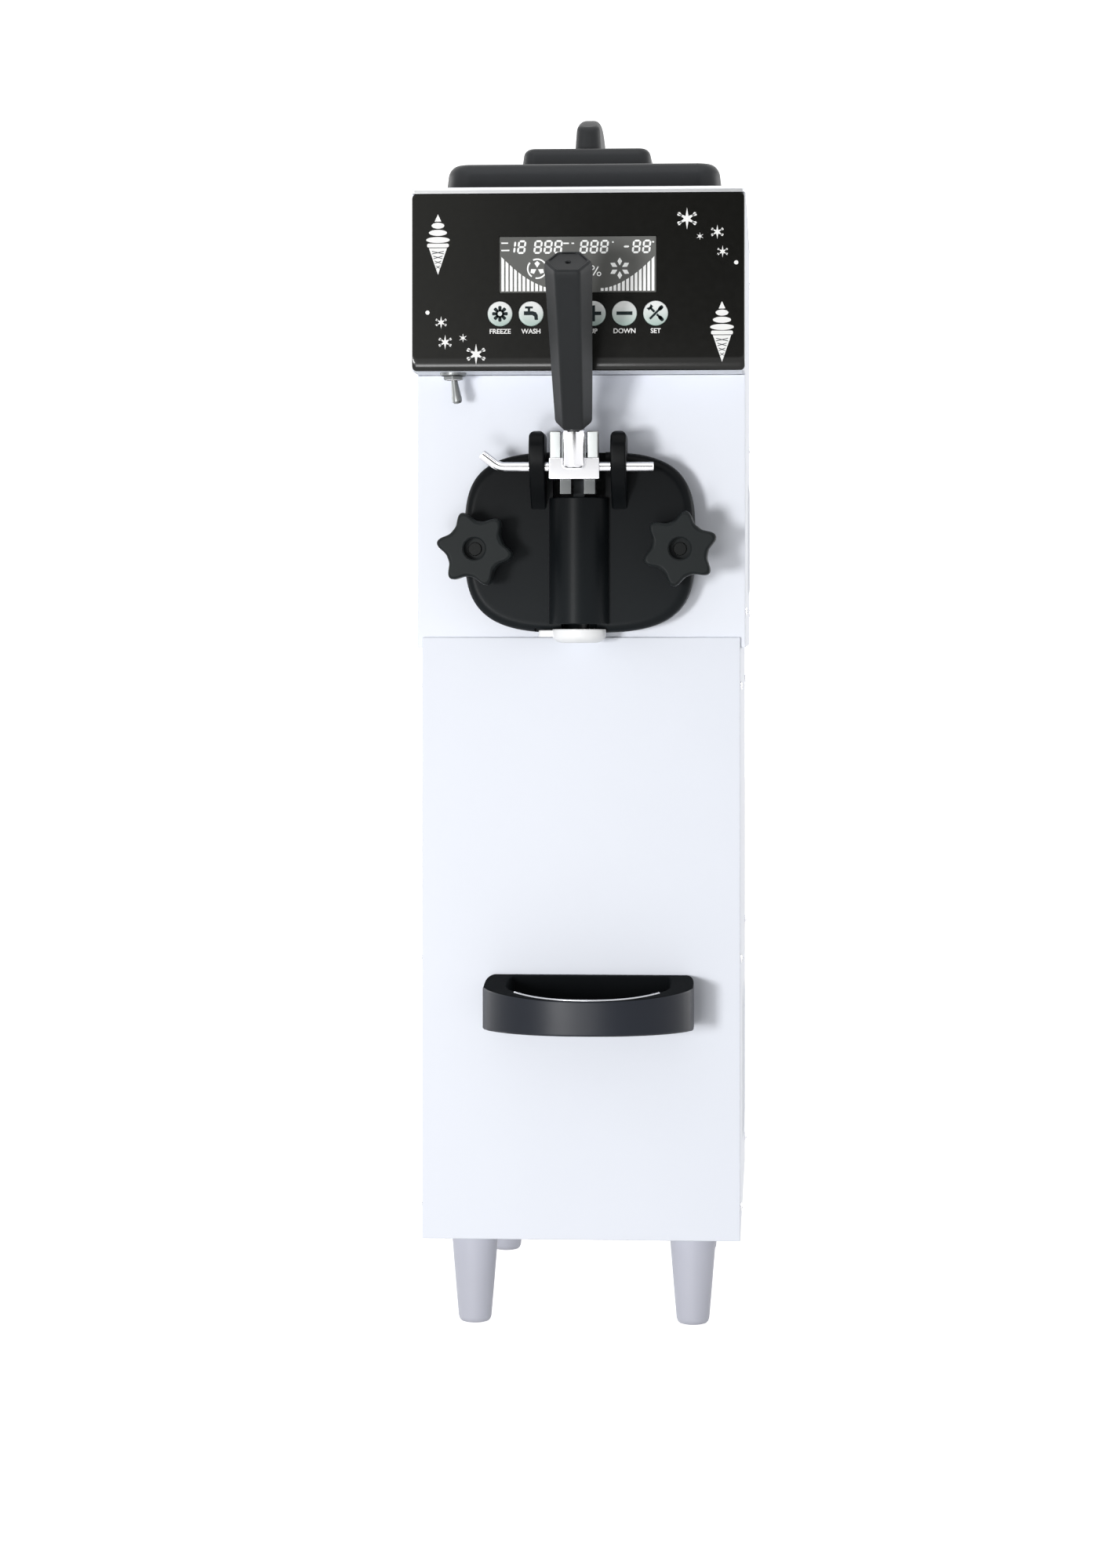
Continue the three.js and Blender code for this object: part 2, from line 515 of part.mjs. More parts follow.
// ---- refrigeration ----
function buildRefrigeration() {
  const floor = LEG_HEIGHT + 4;
  const shell = turned('z', [-20, FRONT + 110, floor], [[0, 0], [0, 66], [120, 66], [150, 46],
    [158, 0]], 22);
  add('compressor', shell, 'enamel_black');
  const core = block([-105, 105], [REAR - 62, REAR - 27], [floor, 330]);
  const channels = row(12, 15).map((x) => block([x - 3, x + 3], [REAR - 63, REAR - 36], [floor + 16, 314]));
  add('condenser', cut(core, ...channels), 'fin_aluminium');
  const y = REAR - 100;
  const can = rod('y', [0, 0, FAN_Z], [y - 55, y - 12], 26, 16);
  const stand = block([-14, 14], [y - 48, y - 30], [floor, FAN_Z]);
  add('fan_motor', join(can, stand), 'enamel_black');
  const hub = rod('y', [0, 0, FAN_Z], [y - 11.5, y + 12], 16, 14);
  const blades = Array.from({ length: 5 }, (_, i) => {
    const blade = block([-17, 17], [-1.2, 1.2], [10, 82]).rotateZ(0.5);
    return blade.rotateY((i * 2 * Math.PI) / 5).translate(0, y, FAN_Z);
  });
  add('fan_rotor', join(hub, ...blades), 'satin_black');
  const around = (half, middle) => [middle - half, middle + half];
  const socket = block(around(15, INLET_X), [REAR - 24, REAR + 0.4], around(13, INLET_Z));
  const lip = block(around(21, INLET_X), [REAR - 2, REAR + 2.5], around(19, INLET_Z));
  const cavity = block(around(10, INLET_X), [REAR - 14, REAR + 4], around(8.5, INLET_Z));
  const strip = block([-CABINET_HALF, CABINET_HALF], [REAR - SHEET, REAR],
    [LEG_HEIGHT, REAR_PANEL_BOTTOM - GAP]);
  add('power_inlet', cut(join(strip, socket, lip), cavity), 'satin_black');
}

// ---- dispensing door and draw valve ----
function doorOutline() {
  const steps = 28;
  const points = Array.from({ length: steps }, (_, i) => {
    const angle = (2 * Math.PI * i) / steps;
    const c = Math.cos(angle);
    const s = Math.sin(angle);
    const power = 2 / (s > 0 ? DOOR_POWER.upper : DOOR_POWER.lower);
    const u = DOOR_HALF_X * Math.sign(c) * Math.abs(c) ** power;
    const v = DOOR_HALF_Z * Math.sign(s) * Math.abs(s) ** power;
    return [u, DOOR_Z + v];
  });
  return outline(points);
}

function buildDoor() {
  const plate = plateAlongY(doorOutline(), [DOOR_FRONT, FRONT]);
  const boss = rod('z', [0, VALVE_Y, 0], [BOSS_BOTTOM, BOSS_TOP], BOSS_RADIUS, 24);
  const bossBack = block([-BOSS_RADIUS, BOSS_RADIUS], [VALVE_Y, FRONT - 5], [BOSS_BOTTOM + 1, BOSS_TOP]);
  const ears = [-1, 1].map((side) =>
    block(sideSpan(side, 26, 38.5), [FRONT - 60, DOOR_FRONT + 5], [662, 722.8]));
  const pocket = block([-21, 21], [FRONT - 62, FRONT - 9], [BOSS_TOP, 730]);
  const bore = rod('z', [0, VALVE_Y, 0], [BOSS_BOTTOM - 5, BOSS_TOP + 5], BORE_RADIUS, 20);
  const pinHole = rod('x', [0, PIVOT_Y, PIVOT_Z], [-60, 60], PIN_RADIUS + GAP, 12);
  const port = rod('y', [0, 0, 590], [VALVE_Y, FRONT + 2], 8, 12);
  const nozzleRoom = rod('z', [0, VALVE_Y, 0], [540, BOSS_BOTTOM], 22, 18);
  const tabRoom = block([-36, 0], [VALVE_Y - 7, VALVE_Y + 7], [540, BOSS_BOTTOM]);
  const groove = ring('y', [0, FRONT, CYLINDER_Z], [-3, 1], 53.7, 58.7, 24);
  const studHoles = [-STUD_X, STUD_X].map((x) =>
    rod('y', [x, FRONT, CYLINDER_Z], [-40, 1], STUD_RADIUS + GAP, 12));
  const hollows = [pocket, bore, pinHole, port, nozzleRoom, tabRoom, groove, ...studHoles];
  add('dispensing_door', cut(join(plate, boss, bossBack, ...ears), ...hollows), 'satin_black');
  add('door_seal', ring('y', [0, FRONT, CYLINDER_Z], [-2.7, -0.02], 54.3, 58, 24), 'rubber');
}

function buildNozzle() {
  const profile = [[554.8, 8], [554.8, 16], [558.5, 20.8], [BOSS_BOTTOM - GAP, 20.8],
    [BOSS_BOTTOM - GAP, 8], [554.8, 8]];
  const cup = turned('z', [0, VALVE_Y, 0], profile, 20);
  const tab = block([-32.4, -18], [VALVE_Y - 6, VALVE_Y + 6], [559.5, 565]);
  const teeth = Array.from({ length: 6 }, (_, i) => {
    const tooth = block([8.5, 13], [-1.6, 1.6], [550, 560]);
    return tooth.rotateZ((i * Math.PI) / 3).translate(0, VALVE_Y, 0);
  });
  add('nozzle_cap', cut(join(cup, tab), ...teeth), 'white_plastic');
}

function buildValve() {
  const plunger = rod('z', [0, VALVE_Y, 0], [578, PLUNGER_TOP], PLUNGER_RADIUS, 20);
  const neck = block([-4.5, 4.5], [VALVE_Y - 6, VALVE_Y + 6], [PLUNGER_TOP - 1, PIVOT_Z - 10]);
  const crossPin = rod('x', [0, VALVE_Y, PIVOT_Z - 14], [-13.6, 13.6], 2, 8);
  add('valve_plunger', join(plunger, neck, crossPin), 'satin_black');
}

// ---- draw handle ----
function buildHandle() {
  const [y, z] = [PIVOT_Y, PIVOT_Z];
  const plate = block([HANDLE_X - 20, HANDLE_X + 20], [y - 13, y + 6], [z - 10, z + 7]);
  const cheek = outline([[y - 12, z], [y + 4, z], [y - 2, z + 28], [y - 14, z + 28]]);
  const cheeks = [-1, 1].map((side) =>
    plateAlongX(cheek, sideSpan(side, 10, 19.5)).translate(HANDLE_X, 0, 0));
  // Each tine is forked towards the back, round the valve's cross pin.
  const tine = outline([[y - 6, z - 8], [y - 6, z - 21.5], [y + 24, z - 21.5], [y + 24, z - 17.3],
    [y + 12, z - 17.3], [y + 12, z - 10.2], [y + 24, z - 10.2], [y + 24, z - 7.2], [y + 4, z - 7.2],
    [y + 4, z - 8]]);
  const tines = [-1, 1].map((side) => plateAlongX(tine, sideSpan(side, 5, 14)));
  const lean = Math.atan2(GRIP.topY - GRIP.bottomY, GRIP.topZ - GRIP.bottomZ);
  const foot = [HANDLE_X, FRONT + GRIP.bottomY, GRIP.bottomZ];
  const stem = rod('z', [HANDLE_X, FRONT + GRIP.bottomY, 0], [z - 2, GRIP.bottomZ - 8], 9.4, 16);
  const neck = turned('z', [0, 0, 0], [[-12, 0], [-12, 8.6], [-GAP, 8.2], [-GAP, 0]], 14);
  neck.rotateX(-lean).translate(...foot);
  const hole = rod('x', [0, y, z], [-30, 30], PIN_RADIUS + GAP, 12);
  add('draw_yoke', cut(join(plate, ...cheeks, ...tines, stem, neck), hole), 'polished_steel');

  const length = Math.hypot(GRIP.topY - GRIP.bottomY, GRIP.topZ - GRIP.bottomZ);
  const profile = [[0, 0], [0, 11], [3, 14.6], [length - 5, 18.2], [length, 15.5], [length - 2.5, 0]];
  const grip = turned('z', [0, 0, 0], profile, 6).rotateZ(Math.PI / 6).rotateX(-lean);
  add('handle_grip', grip.translate(...foot), 'charcoal');
}

function buildPivotPin() {
  const straight = rod('x', [0, PIVOT_Y, PIVOT_Z], [-66, 60], PIN_RADIUS, 12);
  const tip = rod('x', [0, 0, 0], [-17, 1], PIN_RADIUS, 12);
  tip.rotateY(THREE.MathUtils.degToRad(37)).translate(-65, PIVOT_Y, PIVOT_Z);
  add('pivot_pin', join(straight, tip), 'polished_steel');
}

function buildStarKnobs() {
  for (const [side, sign, phase] of [['left', -1, 50], ['right', 1, 20]]) {
    const x = sign * STUD_X;
    const steps = 36;
    const turn = THREE.MathUtils.degToRad(phase);
    const points = Array.from({ length: steps }, (_, i) => {
      const angle = (2 * Math.PI * i) / steps;
      const lobe = KNOB_LOBE * Math.cos(6 * (angle - turn)) + 0.8 * Math.cos(12 * (angle - turn));
      const radius = KNOB_RADIUS + lobe;
      return [x + radius * Math.cos(angle), CYLINDER_Z + radius * Math.sin(angle)];
    });
    const head = plateAlongY(outline(points), [FRONT - 66, FRONT - 44]);
    const hub = rod('y', [x, FRONT, CYLINDER_Z], [-46, -30 - GAP], 14, 16);
    const bore = rod('y', [x, FRONT, CYLINDER_Z], [-70, -20], STUD_RADIUS + GAP, 12);
    const mouth = rod('y', [x, FRONT, CYLINDER_Z], [-70, -56], 8.4, 14);
    add(`star_knob_${side}`, cut(join(head, hub), bore, mouth), 'satin_black');
    add(`door_stud_${side}`, rod('y', [x, FRONT, CYLINDER_Z], [-58, 7.5], STUD_RADIUS, 12), 'enamel_black');
  }
}

// ---- drip tray ----
function trayOutline(wall) {
  const half = TRAY_HALF_X - wall.side;
  const corner = FRONT - 49;
  const nose = TRAY_FRONT + wall.front;
  const back = FRONT - 3.3 - wall.back;
  const shape = new THREE.Shape();
  shape.moveTo(TRAY_X - half, back);
  shape.lineTo(TRAY_X - half, corner);
  shape.quadraticCurveTo(TRAY_X - half * 0.9, nose, TRAY_X, nose);
  shape.quadraticCurveTo(TRAY_X + half * 0.9, nose, TRAY_X + half, corner);
  shape.lineTo(TRAY_X + half, back);
  return shape;
}

function buildTray() {
  const outer = plateAlongZ(trayOutline({ side: 0, back: 0, front: 0 }), [TRAY_BOTTOM, TRAY_TOP], 6);
  const inner = plateAlongZ(trayOutline(TRAY_WALL), [TRAY_BOTTOM + 3, TRAY_TOP + 10], 6);
  const slope = block([-200, 200], [-150, 0], [0, 60]).rotateX(Math.atan2(12.5, 95));
  slope.translate(0, FRONT, TRAY_TOP + 0.2);
  const pegs = [-PEG_X, PEG_X].map((x) =>
    rod('y', [TRAY_X + x, FRONT, PEG_Z], [-6, 2], PEG_RADIUS, 12));
  const body = cut(outer, inner, slope);
  add('drip_tray', join(body, ...pegs), 'satin_black');
}

buildLegs();
buildBasePan();
buildPosts();
buildLowerPanels();
buildUpperCovers();
buildRearPanel();
buildDeck();
buildHeadCasing();
buildFascia();
buildControlBoard();
buildButtons();
buildToggle();
buildHopper();
buildFeedTube();
buildLid();
buildCylinder();
buildBeater();
buildDrive();
buildRefrigeration();
buildDoor();
buildNozzle();
buildValve();
buildHandle();
buildPivotPin();
buildStarKnobs();
buildTray();

export default machine;
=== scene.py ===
import json
import math

import bmesh
import bpy
from mathutils import Matrix, Vector


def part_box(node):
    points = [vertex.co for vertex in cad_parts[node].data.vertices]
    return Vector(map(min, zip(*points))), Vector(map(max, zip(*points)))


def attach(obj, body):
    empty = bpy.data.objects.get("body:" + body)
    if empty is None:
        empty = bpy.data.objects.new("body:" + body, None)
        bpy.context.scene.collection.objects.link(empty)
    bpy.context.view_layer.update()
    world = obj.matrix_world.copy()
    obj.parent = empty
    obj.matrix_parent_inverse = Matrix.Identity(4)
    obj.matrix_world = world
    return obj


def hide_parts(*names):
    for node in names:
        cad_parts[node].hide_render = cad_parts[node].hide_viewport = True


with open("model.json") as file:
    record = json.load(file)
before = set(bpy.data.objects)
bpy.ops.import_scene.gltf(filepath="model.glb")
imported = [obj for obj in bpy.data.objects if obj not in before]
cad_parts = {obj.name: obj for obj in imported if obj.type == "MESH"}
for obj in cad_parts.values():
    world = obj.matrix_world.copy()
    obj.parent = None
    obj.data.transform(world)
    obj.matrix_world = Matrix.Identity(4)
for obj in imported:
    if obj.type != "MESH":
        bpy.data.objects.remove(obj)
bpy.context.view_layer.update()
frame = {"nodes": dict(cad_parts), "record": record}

MM = 0.001
WORLD_STRENGTH = 0.4
FLOOR_GLOW = 0.85
KEY_WATTS = 58
LOW_WATTS = 7.5
FILL_WATTS = 24
CAMERA_DISTANCE = 3.0
CAMERA_SIDE, CAMERA_HEIGHT = 156.2 * MM, 567.2 * MM
CAMERA_AIM_X = -21.4 * MM
LENS_MM, LENS_SHIFT = 85.7, -0.1

UPPER_SLOTS, LOWER_SLOTS, LOWER_REAR_SLOTS = (0.6, 0.69), (0.13, 0.25), (0.132, 0.3)
BUTTON_HOLE = 10.4 * MM
LABEL_DROP, LABEL_SIZE = 14 * MM, 5.3 * MM
BOSS_TOP = 670.2 * MM
NOZZLE_ROOM = (0.54, 0.5662)
EAR_FOOT = 0.66
GRIP_FOOT, GRIP_HEAD = (62 * MM, 727 * MM), (144 * MM, 848 * MM)
PIN_BEND_DEGREES = 37
PEG_Z = 0.27
SLOT_OF = {part["node"]: part["material_slot"] for part in frame["record"]["subparts"]}


# ---- places taken from the frame
def low(node, axis):
    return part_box(node)[0][axis]


def high(node, axis):
    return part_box(node)[1][axis]


def middle(node, axis):
    return (low(node, axis) + high(node, axis)) / 2


X, Y, Z = 0, 1, 2
BODY_FRONT = low("upper_front_panel", Y)
CABINET_FRONT = low("lower_front_panel", Y)
REAR = high("rear_panel", Y)
HEAD_FRONT = low("control_fascia", Y)
VALVE_Y = middle("valve_plunger", Y)
PIVOT_Y = middle("pivot_pin", Y)
PIVOT_Z = low("pivot_pin", Z) + 4 * MM
STUD_X = middle("door_stud_right", X)
STUD_Z = middle("door_stud_left", Z)
DISPLAY_Z = middle("display_module", Z)
HANDLE_X = middle("draw_yoke", X)
BUTTON_NAMES = ("freeze", "wash", "auto", "up", "down", "set")


# ---- node materials
def new_material(name):
    material = bpy.data.materials.new(name)
    material.use_nodes = True
    nodes = material.node_tree.nodes
    return material, nodes, material.node_tree.links, nodes["Principled BSDF"]


def speckle(nodes, links, scale, detail=2.0, stretch=(1, 1, 1)):
    """A noise texture in object space, stretched for brushed grain."""
    coords = nodes.new("ShaderNodeTexCoord")
    mapping = nodes.new("ShaderNodeMapping")
    mapping.inputs["Scale"].default_value = stretch
    noise = nodes.new("ShaderNodeTexNoise")
    noise.inputs["Scale"].default_value = scale
    noise.inputs["Detail"].default_value = detail
    links.new(coords.outputs["Object"], mapping.inputs["Vector"])
    links.new(mapping.outputs["Vector"], noise.inputs["Vector"])
    return noise.outputs["Fac"]


def ramp(nodes, links, source, dark, light, start=0.3, end=0.7):
    node = nodes.new("ShaderNodeValToRGB")
    node.color_ramp.elements[0].position = start
    node.color_ramp.elements[1].position = end
    node.color_ramp.elements[0].color = (*dark, 1)
    node.color_ramp.elements[1].color = (*light, 1)
    links.new(source, node.inputs["Fac"])
    return node.outputs["Color"]


def to_range(nodes, links, source, lowest, highest):
    node = nodes.new("ShaderNodeMapRange")
    node.inputs["To Min"].default_value = lowest
    node.inputs["To Max"].default_value = highest
    links.new(source, node.inputs["Value"])
    return node.outputs["Result"]


def bump(nodes, links, source, shader, strength, distance):
    node = nodes.new("ShaderNodeBump")
    node.inputs["Strength"].default_value = strength
    node.inputs["Distance"].default_value = distance
    links.new(source, node.inputs["Height"])
    links.new(node.outputs["Normal"], shader.inputs["Normal"])


def surface(name, color, roughness, metallic, spread, grain, relief, specular=0.5, stretch=(1, 1, 1)):
    """A moulded, painted or metal surface: mottled colour, uneven roughness and a fine relief."""
    material, nodes, links, shader = new_material(name)
    broad = speckle(nodes, links, 9.0, 3.0)
    fine = speckle(nodes, links, grain, 2.0, stretch)
    dark = tuple(c * (1 - spread) for c in color)
    light = tuple(min(1.0, c * (1 + spread)) for c in color)
    links.new(ramp(nodes, links, broad, dark, light), shader.inputs["Base Color"])
    uneven = to_range(nodes, links, fine, roughness * 0.85, min(1.0, roughness * 1.15))
    links.new(uneven, shader.inputs["Roughness"])
    shader.inputs["Metallic"].default_value = metallic
    shader.inputs["Specular IOR Level"].default_value = specular
    bump(nodes, links, fine, shader, relief, 0.1 * MM)
    return material


def lit(name, color, strength, evenness=0.995, scale=2.0, roughness=0.9, specular=0.0):
    """A lit surface, slightly uneven: a display segment, the studio's floor, surround or card."""
    material, nodes, links, shader = new_material(name)
    tone = ramp(nodes, links, speckle(nodes, links, scale), tuple(c * evenness for c in color), color)
    links.new(tone, shader.inputs["Base Color"])
    links.new(tone, shader.inputs["Emission Color"])
    shader.inputs["Emission Strength"].default_value = strength
    shader.inputs["Roughness"].default_value = roughness
    shader.inputs["Specular IOR Level"].default_value = specular
    return material


def along(nodes, links, axis, start, end):
    """Runs from 0 to 1 between two places on an axis of the object's own space."""
    coords = nodes.new("ShaderNodeTexCoord")
    split = nodes.new("ShaderNodeSeparateXYZ")
    place = nodes.new("ShaderNodeMapRange")
    place.inputs["From Min"].default_value = start
    place.inputs["From Max"].default_value = end
    links.new(coords.outputs["Object"], split.inputs["Vector"])
    links.new(split.outputs[axis], place.inputs["Value"])
    return place.outputs["Result"]


def painted_shade_cap(name, low_color, high_color, z_low, z_high, specular=0.2):
    """Satin cap with painted shade: its tone runs from one colour at z_low to another at z_high, standing in
    for how the light falls over its height.
    """
    material, nodes, links, shader = new_material(name)
    height = along(nodes, links, "Z", z_low, z_high)
    links.new(ramp(nodes, links, height, low_color, high_color, 0.0, 1.0), shader.inputs["Base Color"])
    fine = speckle(nodes, links, 900.0)
    links.new(to_range(nodes, links, fine, 0.32, 0.42), shader.inputs["Roughness"])
    shader.inputs["Specular IOR Level"].default_value = specular
    bump(nodes, links, fine, shader, 0.05, 0.1 * MM)
    return material


def graded_card(name, bright_x, dark_x):
    """Reflection card: lit towards its left end and falling to almost black."""
    material, nodes, links, shader = new_material(name)
    place = along(nodes, links, "X", bright_x, dark_x)
    tone = ramp(nodes, links, place, (0.95, 0.95, 0.9), (0.03, 0.03, 0.03), 0.0, 1.0)
    links.new(tone, shader.inputs["Emission Color"])
    shader.inputs["Base Color"].default_value = (0.02, 0.02, 0.02, 1)
    shader.inputs["Emission Strength"].default_value = 1.0
    shader.inputs["Roughness"].default_value = 0.9
    return material


# slot or look: name, colour, roughness, metallic, spread, grain, relief, specular, stretch
SURFACES = {
    "white_paint": ("white_powder_coat", (0.84, 0.87, 0.94), 0.45, 0, 0.008, 1400, 0.12, 0.3),
    # painted shade: a slightly darker copy of the white paint, for the lower front panel
    "cabinet_painted_shade": ("cabinet_powder_coat", (0.775, 0.805, 0.875), 0.45, 0, 0.008, 1400, 0.12, 0.3),
    "zinc": ("zinc_plate", (0.52, 0.53, 0.55), 0.42, 0.9, 0.16, 60, 0.1),
    "enamel_black": ("black_enamel", (0.005, 0.006, 0.006), 0.4, 0, 0.15, 150, 0.15, 0.1),
    "cast_grey": ("cast_aluminium", (0.3, 0.31, 0.33), 0.6, 0.7, 0.12, 350, 0.5),
    "brushed_steel": ("brushed_stainless", (0.66, 0.67, 0.69), 0.3, 1, 0.05, 500, 0.15, 0.5, (1, 14, 14)),
    "polished_steel": ("polished_stainless", (0.7, 0.7, 0.72), 0.16, 1, 0.03, 300, 0.04, 0.5, (1, 6, 6)),
    # painted shade: a darker copy of the polished steel, standing in for its dark reflections on the toggle
    # and the yoke's cheeks
    "steel_painted_shade": ("ground_stainless", (0.24, 0.25, 0.25), 0.34, 1, 0.08, 600, 0.1, 0.5, (8, 8, 1)),
    # painted shade: a near-black copy of the polished steel, for the yoke's tines
    "tine_painted_shade_steel": ("dark_forked_steel", (0.08, 0.084, 0.085), 0.4, 0.8, 0.08, 600, 0.1, 0.5, (8, 8, 1)),
    "fin_aluminium": ("fin_aluminium", (0.6, 0.62, 0.64), 0.45, 0.9, 0.1, 200, 0.2, 0.5, (12, 1, 1)),
    "gloss_black": ("gloss_black_panel", (0.0055, 0.0055, 0.0045), 0.16, 0, 0.1, 200, 0.01, 0.3),
    "satin_black": ("satin_black_plastic", (0.009, 0.012, 0.0145), 0.4, 0, 0.12, 1600, 0.08, 0.16),
    "charcoal": ("charcoal_matt_plastic", (0.02, 0.0215, 0.0235), 0.5, 0, 0.08, 2200, 0.2, 0.22),
    "grip_black": ("grip_black_plastic", (0.0095, 0.0108, 0.012), 0.5, 0, 0.08, 2200, 0.15, 0.2),
    "knob_black": ("knob_black_plastic", (0.007, 0.0092, 0.0098), 0.45, 0, 0.1, 1800, 0.1, 0.12),
    "tray_slate": ("tray_slate_plastic", (0.007, 0.0095, 0.016), 0.4, 0, 0.06, 1600, 0.06, 0.22),
    # painted shade: a darker, matt copy of the tray plastic, for the tray's inside and its top faces
    "tray_black": ("tray_black_plastic", (0.005, 0.006, 0.007), 0.85, 0, 0.1, 900, 0.05, 0.03),
    # painted highlight: a light grey metal for a thin tube along the tray's lip
    "rim_highlight": ("rim_highlight", (0.5, 0.51, 0.54), 0.2, 0.6, 0.05, 900, 0.05),
    "rubber": ("black_rubber", (0.012, 0.012, 0.013), 0.75, 0, 0.15, 800, 0.3),
    "white_plastic": ("white_food_plastic", (0.9, 0.91, 0.92), 0.38, 0, 0.02, 900, 0.05),
    "leg_grey": ("leg_plastic", (0.5, 0.51, 0.58), 0.45, 0, 0.04, 1100, 0.1, 0.3),
    "foam": ("insulating_foam", (0.68, 0.6, 0.33), 0.9, 0, 0.15, 260, 0.8),
    "board_green": ("solder_mask", (0.01, 0.1, 0.04), 0.35, 0, 0.2, 400, 0.1),
    "display": ("display_glass", (0.14, 0.142, 0.135), 0.3, 0, 0.08, 120, 0.01, 0.15),
    "print_white": ("white_print", (0.88, 0.88, 0.87), 0.5, 0, 0.03, 500, 0.03),
    "print_black": ("black_print", (0.012, 0.02, 0.022), 0.4, 0, 0.05, 500, 0.03, 0.1)}


def make_materials():
    made = {key: surface(*settings) for key, settings in SURFACES.items()}
    button_z = middle("button_set", Z)
    reach = high("button_set", Z) - button_z
    # painted shade: the door's black is lighter low down and darker towards its top, as the light falls off
    # under the head
    made["door_black"] = painted_shade_cap("door_black", (0.0085, 0.0105, 0.012), (0.0015, 0.002, 0.0025),
        low("dispensing_door", Z) + 20 * MM, STUD_Z + 70 * MM, 0.07)
    # painted shade: the lid's rim is dark at its foot and lighter towards its top, as its rounded top edge
    # catches the light
    made["lid_black"] = painted_shade_cap("lid_black", (0.005, 0.0055, 0.007), (0.026, 0.028, 0.031),
        low("hopper_lid", Z) + 2 * MM, low("hopper_lid", Z) + 24 * MM)
    # painted shade: each button cap is darker and greener low down and light at its top
    made["button_grey"] = painted_shade_cap("button_cap", (0.42, 0.55, 0.5), (0.86, 0.88, 0.87),
        button_z - reach, button_z + 0.6 * reach)
    made["lit_segment"] = lit("lit_segment", (0.86, 0.87, 0.86), 0.2, 0.93, 60.0, 0.5, 0.5)
    return made


MATERIALS = make_materials()


# ---- outlines: lists of (u, v) points
def arc(cu, cv, radius, start, end, steps):
    """Points along an arc between two angles in degrees."""
    turn = [math.radians(start + (end - start) * i / steps) for i in range(steps + 1)]
    return [(cu + radius * math.cos(a), cv + radius * math.sin(a)) for a in turn]


def quarter(steps):
    """The angles of a quarter turn."""
    return [math.pi / 2 * i / steps for i in range(steps + 1)]


def evenly(centre, pitch, count):
    return [centre + (i - (count - 1) / 2) * pitch for i in range(count)]


def rounded_rect(u0, u1, v0, v1, radius, steps=8):
    left, right, lower, upper = u0 + radius, u1 - radius, v0 + radius, v1 - radius
    corners = ((right, lower, -90), (right, upper, 0), (left, upper, 90), (left, lower, 180))
    return [point for cu, cv, start in corners for point in arc(cu, cv, radius, start, start + 90, steps)]


def circle(cu, cv, radius, steps=48):
    turn = [2 * math.pi * i / steps for i in range(steps)]
    return [(cu + radius * math.cos(a), cv + radius * math.sin(a)) for a in turn]


def squircle(cu, cv, half_u, half_v, power=2.6, steps=96, upper=None):
    """A rounded figure between an ellipse and a rectangle; the upper half may have its own squareness."""
    points = []
    for i in range(steps):
        angle = 2 * math.pi * i / steps
        c, s = math.cos(angle), math.sin(angle)
        squareness = 2 / (upper if upper and s > 0 else power)
        points.append((cu + half_u * math.copysign(abs(c) ** squareness, c),
                       cv + half_v * math.copysign(abs(s) ** squareness, s)))
    return points


def placed(points, cu, cv, scale=1.0, degrees=0.0):
    """Points scaled, turned about the origin and moved."""
    a = math.radians(degrees)
    return [(cu + scale * (u * math.cos(a) - v * math.sin(a)),
             cv + scale * (u * math.sin(a) + v * math.cos(a))) for u, v in points]


def bar(cu, cv, width, height, degrees=0.0):
    """A rectangle turned about its middle."""
    u, v = width / 2, height / 2
    return placed([(-u, -v), (u, -v), (u, v), (-u, v)], cu, cv, 1.0, degrees)


def arc_band(cu, cv, inner, outer, start, end, steps=20):
    """Part of a flat ring between two angles in degrees."""
    return arc(cu, cv, outer, start, end, steps) + arc(cu, cv, inner, start, end, steps)[::-1]


# ---- mesh building
def lift(points, plane, level):
    """Flat outline points to 3-D: plane 'xy' at height z, 'xz' at depth y, or 'yz' at station x."""
    if plane == "xy":
        return [Vector((u, v, level)) for u, v in points]
    if plane == "xz":
        return [Vector((u, level, v)) for u, v in points]
    return [Vector((level, u, v)) for u, v in points]


def skin(bm, rings, closed=False, folded=False):
    """Joins rings of equal length into a surface, capped at both ends or closed on itself.
    A folded end is capped by strips between opposite points, which follow a bowed ring."""
    layers = [[bm.verts.new(p) for p in points] for points in rings]
    pairs = list(zip(layers, layers[1:]))
    if closed:
        pairs.append((layers[-1], layers[0]))
    for lower, upper in pairs:
        for i in range(len(lower)):
            j = (i + 1) % len(lower)
            bm.faces.new((lower[i], lower[j], upper[j], upper[i]))
    if not closed:
        bm.faces.new(layers[0][::-1])
        last = layers[-1]
        if folded:
            count = len(last)
            for i in range(count // 2 - 1):
                bm.faces.new((last[i], last[i + 1], last[count - 2 - i], last[count - 1 - i]))
        else:
            bm.faces.new(last)


def linked(obj):
    bpy.context.scene.collection.objects.link(obj)
    return obj


def to_object(bm, name, smooth=35.0):
    bmesh.ops.remove_doubles(bm, verts=bm.verts, dist=1e-6)
    bmesh.ops.dissolve_degenerate(bm, edges=bm.edges, dist=1e-6)
    bmesh.ops.recalc_face_normals(bm, faces=bm.faces)
    mesh = bpy.data.meshes.new(name)
    bm.to_mesh(mesh)
    bm.free()
    shade(mesh, smooth)
    return linked(bpy.data.objects.new(name, mesh))


def stacked(name, rings, closed=False, smooth=35.0, folded=False):
    bm = bmesh.new()
    skin(bm, rings, closed, folded)
    return to_object(bm, name, smooth)


def prisms(name, outlines, plane, start, end):
    """One mesh holding a flat prism for each outline."""
    bm = bmesh.new()
    for points in outlines:
        skin(bm, [lift(points, plane, start), lift(points, plane, end)])
    return to_object(bm, name)


def block(name, x, y, z):
    return prisms(name, [[(x[0], y[0]), (x[1], y[0]), (x[1], y[1]), (x[0], y[1])]], "xy", z[0], z[1])


